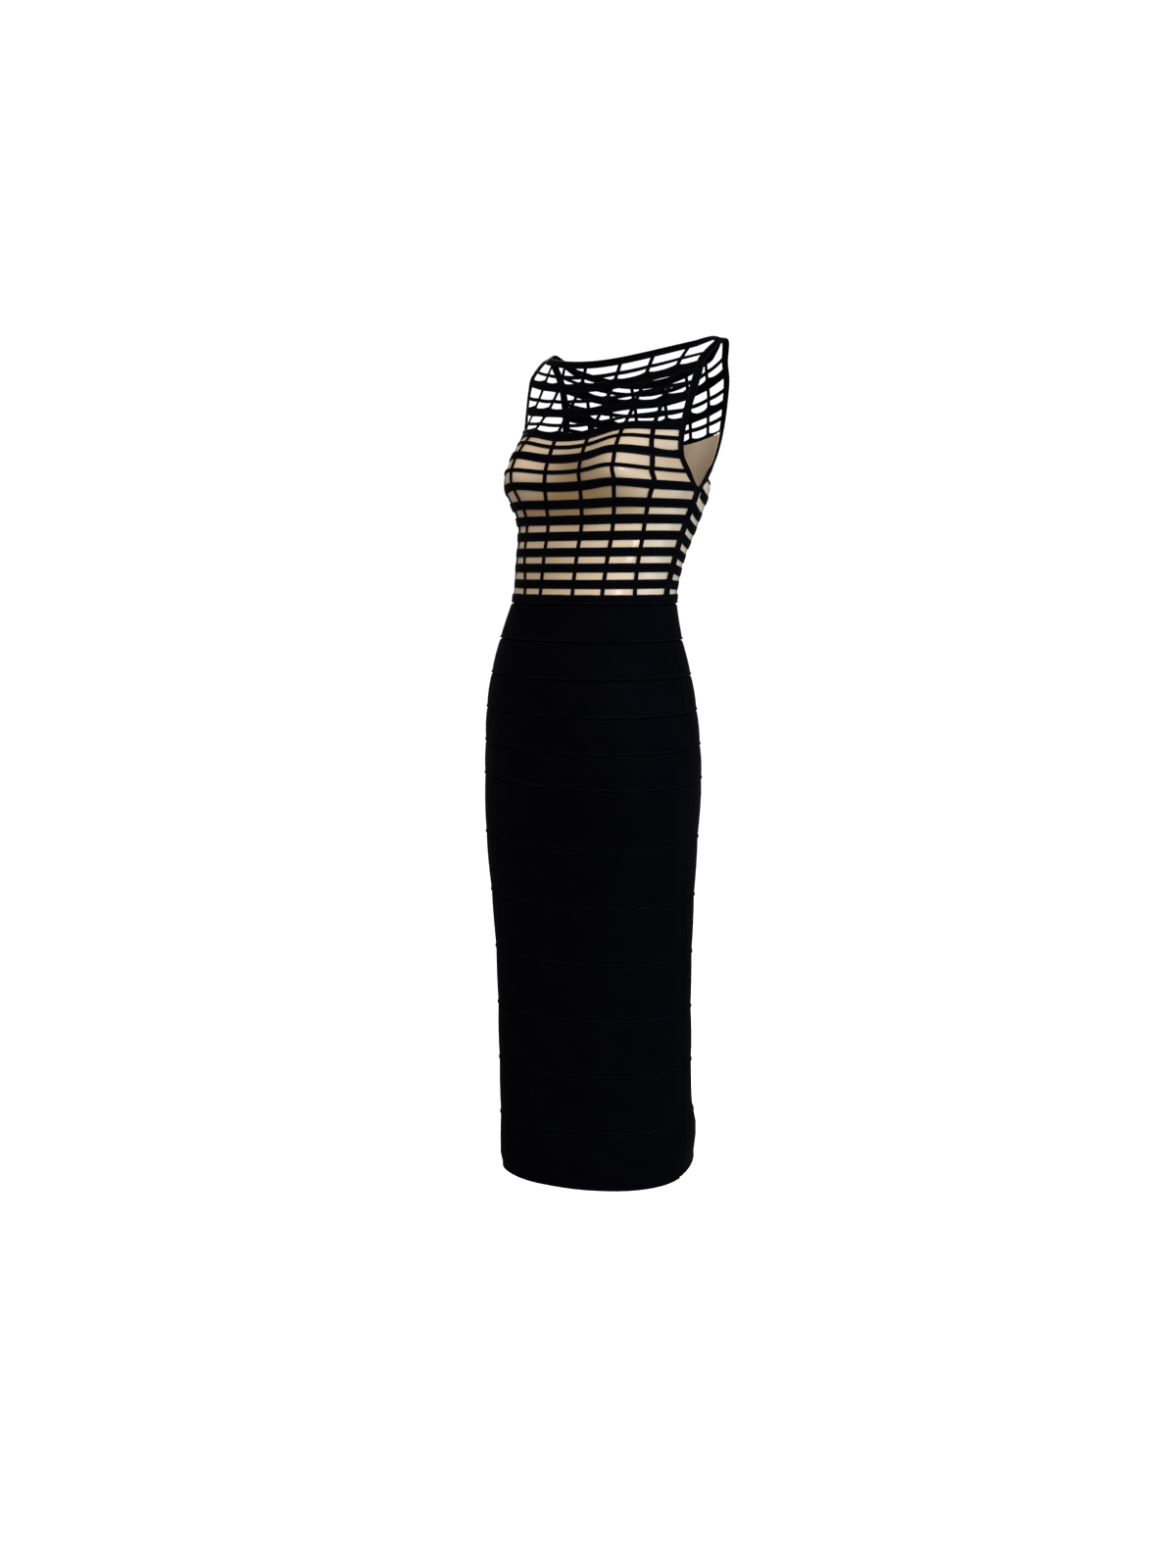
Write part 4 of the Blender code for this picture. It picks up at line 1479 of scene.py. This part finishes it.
@dataclass
class SkirtStrip:
    """One strip of the skirt all round, crowned, tucked in at its top seam and lipped over the next strip.

    Its seam allowance goes down inside the next strip, and the last strip has none. The tables give its
    section in mm: TUCK_DOWN is measured down from the top seam, LIP_UP up from the foot, and TUCK_OUT and
    LIP_OUT say how far out the points nearest to each are. The allowance is measured from the foot and the
    inner face.
    """

    TUCK_DOWN = np.array((0.3, 0.9, 1.7, 3.0, 6.0))
    TUCK_OUT = (-1.5, -1.0, -0.2)
    FACE_SHARES = np.array((0.25, 0.5, 0.75))
    LIP_UP = np.array((5.0, 2.7, 1.5, 0.8, 0.3))
    LIP_OUT = (0.8, 1.5, 1.6, 1.0)
    # The lip is painted paler, partly wear and partly a painted highlight where it catches the light.
    LIP_WEAR_AND_HIGHLIGHT = (0.0, 0.7, 1.0, 0.0)
    INNER_FOOT_UP = 0.35
    INNER_TOP_DOWN = 0.25
    ALLOWANCE_DOWN = np.array((-0.3, 0.3, 2.6, 2.6, 0.2))
    ALLOWANCE_IN = np.array((-0.1, -0.35, -0.35, -0.7, -0.7))
    ALLOWANCE_ROOT_IN = -0.5

    form: BodyForm
    number: int
    top: float
    bottom: float
    crown: float = 1.2
    crown_power: float = 0.6
    steps: int = 96
    inner: float = -2.4
    waves: tuple[Wave, ...] = (Wave(0.22, 3, 61), Wave(0.16, 5, -37, 1.2))
    groove_mm: float = 0.7
    groove_reach_mm: float = 1.3
    ridge_mm: float = 0.45
    ridge_at_mm: float = 4.0
    ridge_reach_mm: float = 2.2

    def section(self) -> tuple[np.ndarray, np.ndarray, np.ndarray]:
        """Lay out the strip's section.

        Returns:
            The levels of its points, how far out they are, and how much paler they are painted, partly wear
            and partly painted highlight.
        """
        height = self.top - self.bottom
        down = np.concatenate((self.TUCK_DOWN, self.FACE_SHARES * height, height - self.LIP_UP))
        part = down / height
        out = self.crown * (4 * part * (1 - part)) ** self.crown_power
        wear_and_highlight = np.zeros(len(down))
        out[:len(self.TUCK_OUT)] = self.TUCK_OUT
        out[-len(self.LIP_OUT):] = self.LIP_OUT
        wear_and_highlight[-len(self.LIP_WEAR_AND_HIGHLIGHT):] = self.LIP_WEAR_AND_HIGHLIGHT
        back = np.array([height - self.INNER_FOOT_UP, 0.5 * height, self.INNER_TOP_DOWN])
        inside = np.full(len(back), self.inner)
        if self.number < UPPER_STRIPS + LOWER_STRIPS:
            back = np.concatenate((height + self.ALLOWANCE_DOWN, back))
            root = [self.inner + self.ALLOWANCE_ROOT_IN]
            inside = np.concatenate((self.inner + self.ALLOWANCE_IN, root, inside[1:]))
        levels = self.top - np.concatenate((down, back))
        return levels, np.concatenate((out, inside)), np.concatenate((wear_and_highlight, np.zeros(len(back))))

    def relief(self, half: Half, share: np.ndarray, level: np.ndarray) -> np.ndarray:
        """Return the worn troughs and ridges of the skirt, its slow waves and the groove of its side seams.

        Args:
            half: The front or the back.
            share: The points' shares.
            level: The points' levels.

        Returns:
            How far out each point is moved, in mm.
        """
        shape = sum(dent.felt(share, level) for dent in SKIRT_DENTS[half])
        turn = share * math.pi if half is Half.FRONT else (2 - share) * math.pi
        for wave in self.waves:
            shape = shape + wave.felt(turn, level)
        seam = (1 - np.abs(share)) * self.form.girth(half, level)
        groove = self.groove_mm * fade(seam / self.groove_reach_mm)
        ridge = self.ridge_mm * fade((seam - self.ridge_at_mm) / self.ridge_reach_mm)
        return shape - groove + ridge

    def build(self, material: bpy.types.Material) -> bpy.types.Object:
        """Make the strip.

        Args:
            material: The knit.

        Returns:
            The piece.
        """
        levels, outs, wear_and_highlight = self.section()
        points = np.concatenate([
            self.form.point(half, share, level, outs[None, :] + self.relief(half, share, level))
            for half, share, level in all_round(levels, self.steps)
        ])
        middle = len(self.TUCK_DOWN) + len(self.FACE_SHARES) // 2
        along = run_lengths(points[:, middle], is_ring=True)
        tube = Tube(points, along, run_lengths(points[0], is_ring=True), wear_and_highlight, is_ring=True)
        piece = build_piece(f"skirt_strip_knit_{self.number:02d}", [tube], material)
        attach(piece, BODY)
        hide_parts(*(f"skirt_strip_{self.number:02d}_{half.value}" for half in Half))
        return piece


@dataclass
class WaistBand:
    """The band all round the waist seam, with a stitched line near its foot and a faint waver along it."""

    FACE_POINT = 4

    form: BodyForm
    steps: int = 96
    height_mm: float = 12.0
    waver_mm: float = 0.2
    close_waver: float = 37.0
    slow_waver: float = 11.0
    slow_waver_start: float = 0.7

    def waver(self, share: np.ndarray) -> np.ndarray:
        """Return how far the band strays up from its level at shares."""
        slow = np.sin(share * self.slow_waver + self.slow_waver_start)
        return self.waver_mm * np.sin(share * self.close_waver) * slow

    def build(self, material: bpy.types.Material) -> bpy.types.Object:
        """Make the band.

        Args:
            material: The knit.

        Returns:
            The piece.
        """
        down, outs, wear_and_highlight = WAIST_BAND_LOOP.T
        points = np.concatenate([
            self.form.point(half, share, level + self.waver(share), outs[None, :])
            for half, share, level in all_round(WAIST_BAND_TOP - down, self.steps)
        ])
        along = run_lengths(points[:, self.FACE_POINT], is_ring=True)
        tube = Tube(points, along, run_lengths(points[0], is_ring=True), wear_and_highlight, is_ring=True)
        piece = build_piece("waist_band_knit", [tube], material)
        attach(piece, BODY)
        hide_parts("waist_band_front", "waist_band_back")
        return piece


@dataclass
class StitchRow:
    """A row of machine stitches that follows a closed line on the cloth."""

    name: str
    line_mm: np.ndarray
    pitch_mm: float = 3.2
    stitch_mm: float = 2.3
    thread_mm: float = 0.42

    def tree(self, material: bpy.types.Material) -> bpy.types.NodeTree:
        """Build the node tree that lays one stitch at each step of the line.

        Args:
            material: The thread.

        Returns:
            The tree, with the line and the stitches' sizes as its inputs.
        """
        tree = bpy.data.node_groups.new("stitch_row", "GeometryNodeTree")
        tree.interface.new_socket("Line", in_out="INPUT", socket_type="NodeSocketGeometry")
        for label in ("Pitch", "Stitch Length", "Thread Width"):
            tree.interface.new_socket(label, in_out="INPUT", socket_type="NodeSocketFloat")
        tree.interface.new_socket("Stitches", in_out="OUTPUT", socket_type="NodeSocketGeometry")
        given = add_node(tree, "NodeGroupInput").outputs
        steps = add_node(
            tree, "GeometryNodeCurveToPoints", {"mode": "LENGTH"}, Curve=given["Line"], Length=given["Pitch"],
        )
        ball = add_node(tree, "GeometryNodeMeshUVSphere", Segments=6, Rings=4, Radius=0.5)
        size = add_node(
            tree, "ShaderNodeCombineXYZ",
            X=given["Thread Width"], Y=given["Thread Width"], Z=given["Stitch Length"],
        )
        laid = add_node(
            tree, "GeometryNodeInstanceOnPoints", Points=steps.outputs["Points"],
            Instance=ball.outputs["Mesh"], Rotation=steps.outputs["Rotation"], Scale=size.outputs[0],
        )
        real = add_node(tree, "GeometryNodeRealizeInstances", Geometry=laid.outputs[0])
        dressed = add_node(tree, "GeometryNodeSetMaterial", Geometry=real.outputs[0], Material=material)
        add_node(tree, "NodeGroupOutput", Stitches=dressed.outputs[0])
        return tree

    def guide(self) -> bpy.types.Object:
        """Return the line that the stitches follow, as a closed curve in metres."""
        curve = bpy.data.curves.new(f"{self.name}_line", "CURVE")
        curve.dimensions = "3D"
        spline = curve.splines.new("POLY")
        spline.points.add(len(self.line_mm) - 1)
        for place, point in zip(self.line_mm * MM, spline.points):
            point.co = (*place, 1.0)
        spline.use_cyclic_u = True
        return add_object(f"{self.name}_line", curve)

    def build(self, material: bpy.types.Material) -> bpy.types.Object:
        """Make the row as a plain mesh.

        Args:
            material: The thread.

        Returns:
            The piece.
        """
        guide, tree = self.guide(), self.tree(material)
        modifier = guide.modifiers.new("stitches", "NODES")
        modifier.node_group = tree
        sizes = {"Pitch": self.pitch_mm, "Stitch Length": self.stitch_mm, "Thread Width": self.thread_mm}
        for socket in tree.interface.items_tree:
            if socket.name in sizes:
                modifier[socket.identifier] = sizes[socket.name] * MM
        evaluated = guide.evaluated_get(bpy.context.evaluated_depsgraph_get())
        mesh = bpy.data.meshes.new_from_object(evaluated)
        curve = guide.data
        bpy.data.objects.remove(guide, do_unlink=True)
        bpy.data.curves.remove(curve)
        bpy.data.node_groups.remove(tree)
        mesh.name = self.name
        mesh.shade_smooth()
        piece = add_object(self.name, mesh)
        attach(piece, BODY)
        return piece


@dataclass(frozen=True)
class SoftBox:
    """A rectangular soft light that faces the dress, in metres and watts."""

    name: str
    place: tuple[float, float, float]
    size: tuple[float, float]
    power: float
    colour: tuple[float, float, float] = (1.0, 1.0, 1.0)
    aim: tuple[float, float, float] = (0.0, -0.08, -0.35)

    def build(self) -> None:
        """Hang the light in its place."""
        lamp = bpy.data.lights.new(self.name, "AREA")
        lamp.shape = "RECTANGLE"
        lamp.size, lamp.size_y = self.size
        lamp.energy = self.power
        lamp.color = self.colour
        box = add_object(self.name, lamp)
        box.location = self.place
        away = Vector(self.aim) - Vector(self.place)
        box.rotation_euler = away.to_track_quat("-Z", "Y").to_euler()


SOFT_BOXES = (
    SoftBox("key_box", (1.70, -2.05, 0.78), (0.6, 1.3), 62.0),
    SoftBox("left_box", (2.5, 0.25, -0.35), (0.9, 2.2), 40.0, (0.42, 0.70, 1.0)),
    SoftBox("strip_box", (2.3, -0.32, -0.45), (0.09, 1.7), 4.5),
    SoftBox("back_box", (-1.75, 1.95, 0.95), (0.8, 1.3), 60.0),
)


@dataclass
class Studio:
    """Plain white floor, soft lights and the camera, in metres and degrees.

    The surround is white where it is seen, and dimmer and a little warm as a light. The camera looks down on
    the dress from the wearer's left front: camera_turn is how far round it stands, and camera_tilt how far
    down it looks. camera_shift is a share of the frame's height.
    """

    floor_z: float = -1.545
    floor_radius: float = 14.0
    floor_sides: int = 96
    surround_light: tuple[float, float, float, float] = (0.46, 0.42, 0.365, 1.0)
    surround_seen: tuple[float, float, float, float] = (1.05, 1.05, 1.05, 1.0)
    film_mm: float = 36.0
    lens_mm: float = 28.71
    camera_shift: float = -6 / 1600
    camera_turn: float = 36.0
    camera_tilt: float = 9.785
    camera_distance: float = 1.64
    camera_height: float = -0.286
    turned_about_y: float = -0.086

    def floor(self) -> None:
        """Lay the pale floor that the figure would stand on."""
        work = bmesh.new()
        bmesh.ops.create_circle(work, cap_ends=True, segments=self.floor_sides, radius=self.floor_radius)
        bmesh.ops.translate(work, verts=work.verts, vec=(0.0, 0.0, self.floor_z))
        mesh = bpy.data.meshes.new("studio_floor")
        work.to_mesh(mesh)
        work.free()
        mesh.materials.append(StudioPaper().material())
        floor = add_object("studio_floor", mesh)
        # It glows, so it is kept out of what lights the black knit and out of its gloss.
        floor.visible_diffuse = floor.visible_glossy = False

    def surround(self) -> None:
        """Put the white surround behind everything."""
        world = bpy.data.worlds.new("white_surround")
        world.use_nodes = True
        tree = world.node_tree
        seen = add_node(tree, "ShaderNodeLightPath").outputs["Is Camera Ray"]
        surround = add_node(
            tree, "ShaderNodeMix", {"data_type": "RGBA"},
            in_0=seen, in_6=self.surround_light, in_7=self.surround_seen,
        )
        set_inputs(tree, tree.nodes["Background"], Color=surround.outputs[2], Strength=1.0)
        bpy.context.scene.world = world
        bpy.context.scene.view_settings.view_transform = "Standard"

    def camera(self) -> None:
        """Set up the camera, a little above the waist and tilted down."""
        data = bpy.data.cameras.new("camera")
        data.sensor_fit = "VERTICAL"
        data.sensor_width = data.sensor_height = self.film_mm
        data.lens = self.lens_mm
        data.shift_x = self.camera_shift
        camera = add_object("camera", data)
        turn, distance = math.radians(self.camera_turn), self.camera_distance
        aside, ahead = distance * math.sin(turn), -distance * math.cos(turn)
        camera.location = (aside, ahead + self.turned_about_y, self.camera_height)
        camera.rotation_euler = (math.radians(90.0 - self.camera_tilt), 0.0, turn)
        bpy.context.scene.camera = camera

    def build(self) -> None:
        """Set up the whole studio."""
        self.camera()
        self.floor()
        self.surround()
        for box in SOFT_BOXES:
            box.build()


@dataclass
class Dress:
    """The whole dress, piece by piece."""

    form: BodyForm
    knit: bpy.types.Material
    mesh: bpy.types.Material
    thread: bpy.types.Material
    neck_rings: int = 260
    armhole_rings: int = 200

    def bindings(self) -> list[Binding]:
        """Return the bindings round the neck and both armholes."""
        bindings = [Binding("neck_binding_knit", "neck_binding", neck_stations(self.form), self.neck_rings)]
        for side, name in ((1, "left"), (-1, "right")):
            stations = armhole_stations(self.form, side)
            knit, node = f"armhole_binding_knit_{name}", f"armhole_binding_{name}"
            bindings.append(Binding(knit, node, stations, self.armhole_rings))
        return bindings

    def bodice(self) -> list[bpy.types.Object]:
        """Return the lattice, the lining, the bindings with their stitches, and the side strips."""
        pieces = []
        for half in Half:
            pieces.append(Lining(self.form, half).build(self.mesh))
            pieces.append(Lattice(self.form, half).build(self.knit))
        for binding in self.bindings():
            pieces.append(binding.build(self.knit))
            pieces += [row.build(self.thread) for row in binding.stitch_rows()]
        pieces += [SideStrip(self.form, side).build(self.knit) for side in (1, -1)]
        return pieces

    def skirt(self) -> list[bpy.types.Object]:
        """Return the waist band and the skirt's strips from the top down."""
        pieces = [WaistBand(self.form).build(self.knit)]
        top = WAIST - SEAM_GAP_MM
        heights = [UPPER_STRIP_MM] * UPPER_STRIPS + [LOWER_STRIP_MM] * LOWER_STRIPS
        for number, height in enumerate(heights, start=1):
            pieces.append(SkirtStrip(self.form, number, top, top - height).build(self.knit))
            top -= height
        return pieces

    def build(self) -> list[bpy.types.Object]:
        """Return every piece of the dress."""
        return self.bodice() + self.skirt()


def main() -> None:
    """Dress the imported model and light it."""
    logging.basicConfig(level=logging.INFO, format="%(name)s: %(message)s")
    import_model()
    Studio().build()
    dress = Dress(BodyForm(), BandageKnit().material(), PowerMesh().material(), SewingThread().material())
    for piece in dress.build():
        LOG.info("%s has %d faces", piece.name, len(piece.data.polygons))


if __name__ == "__main__":
    main()
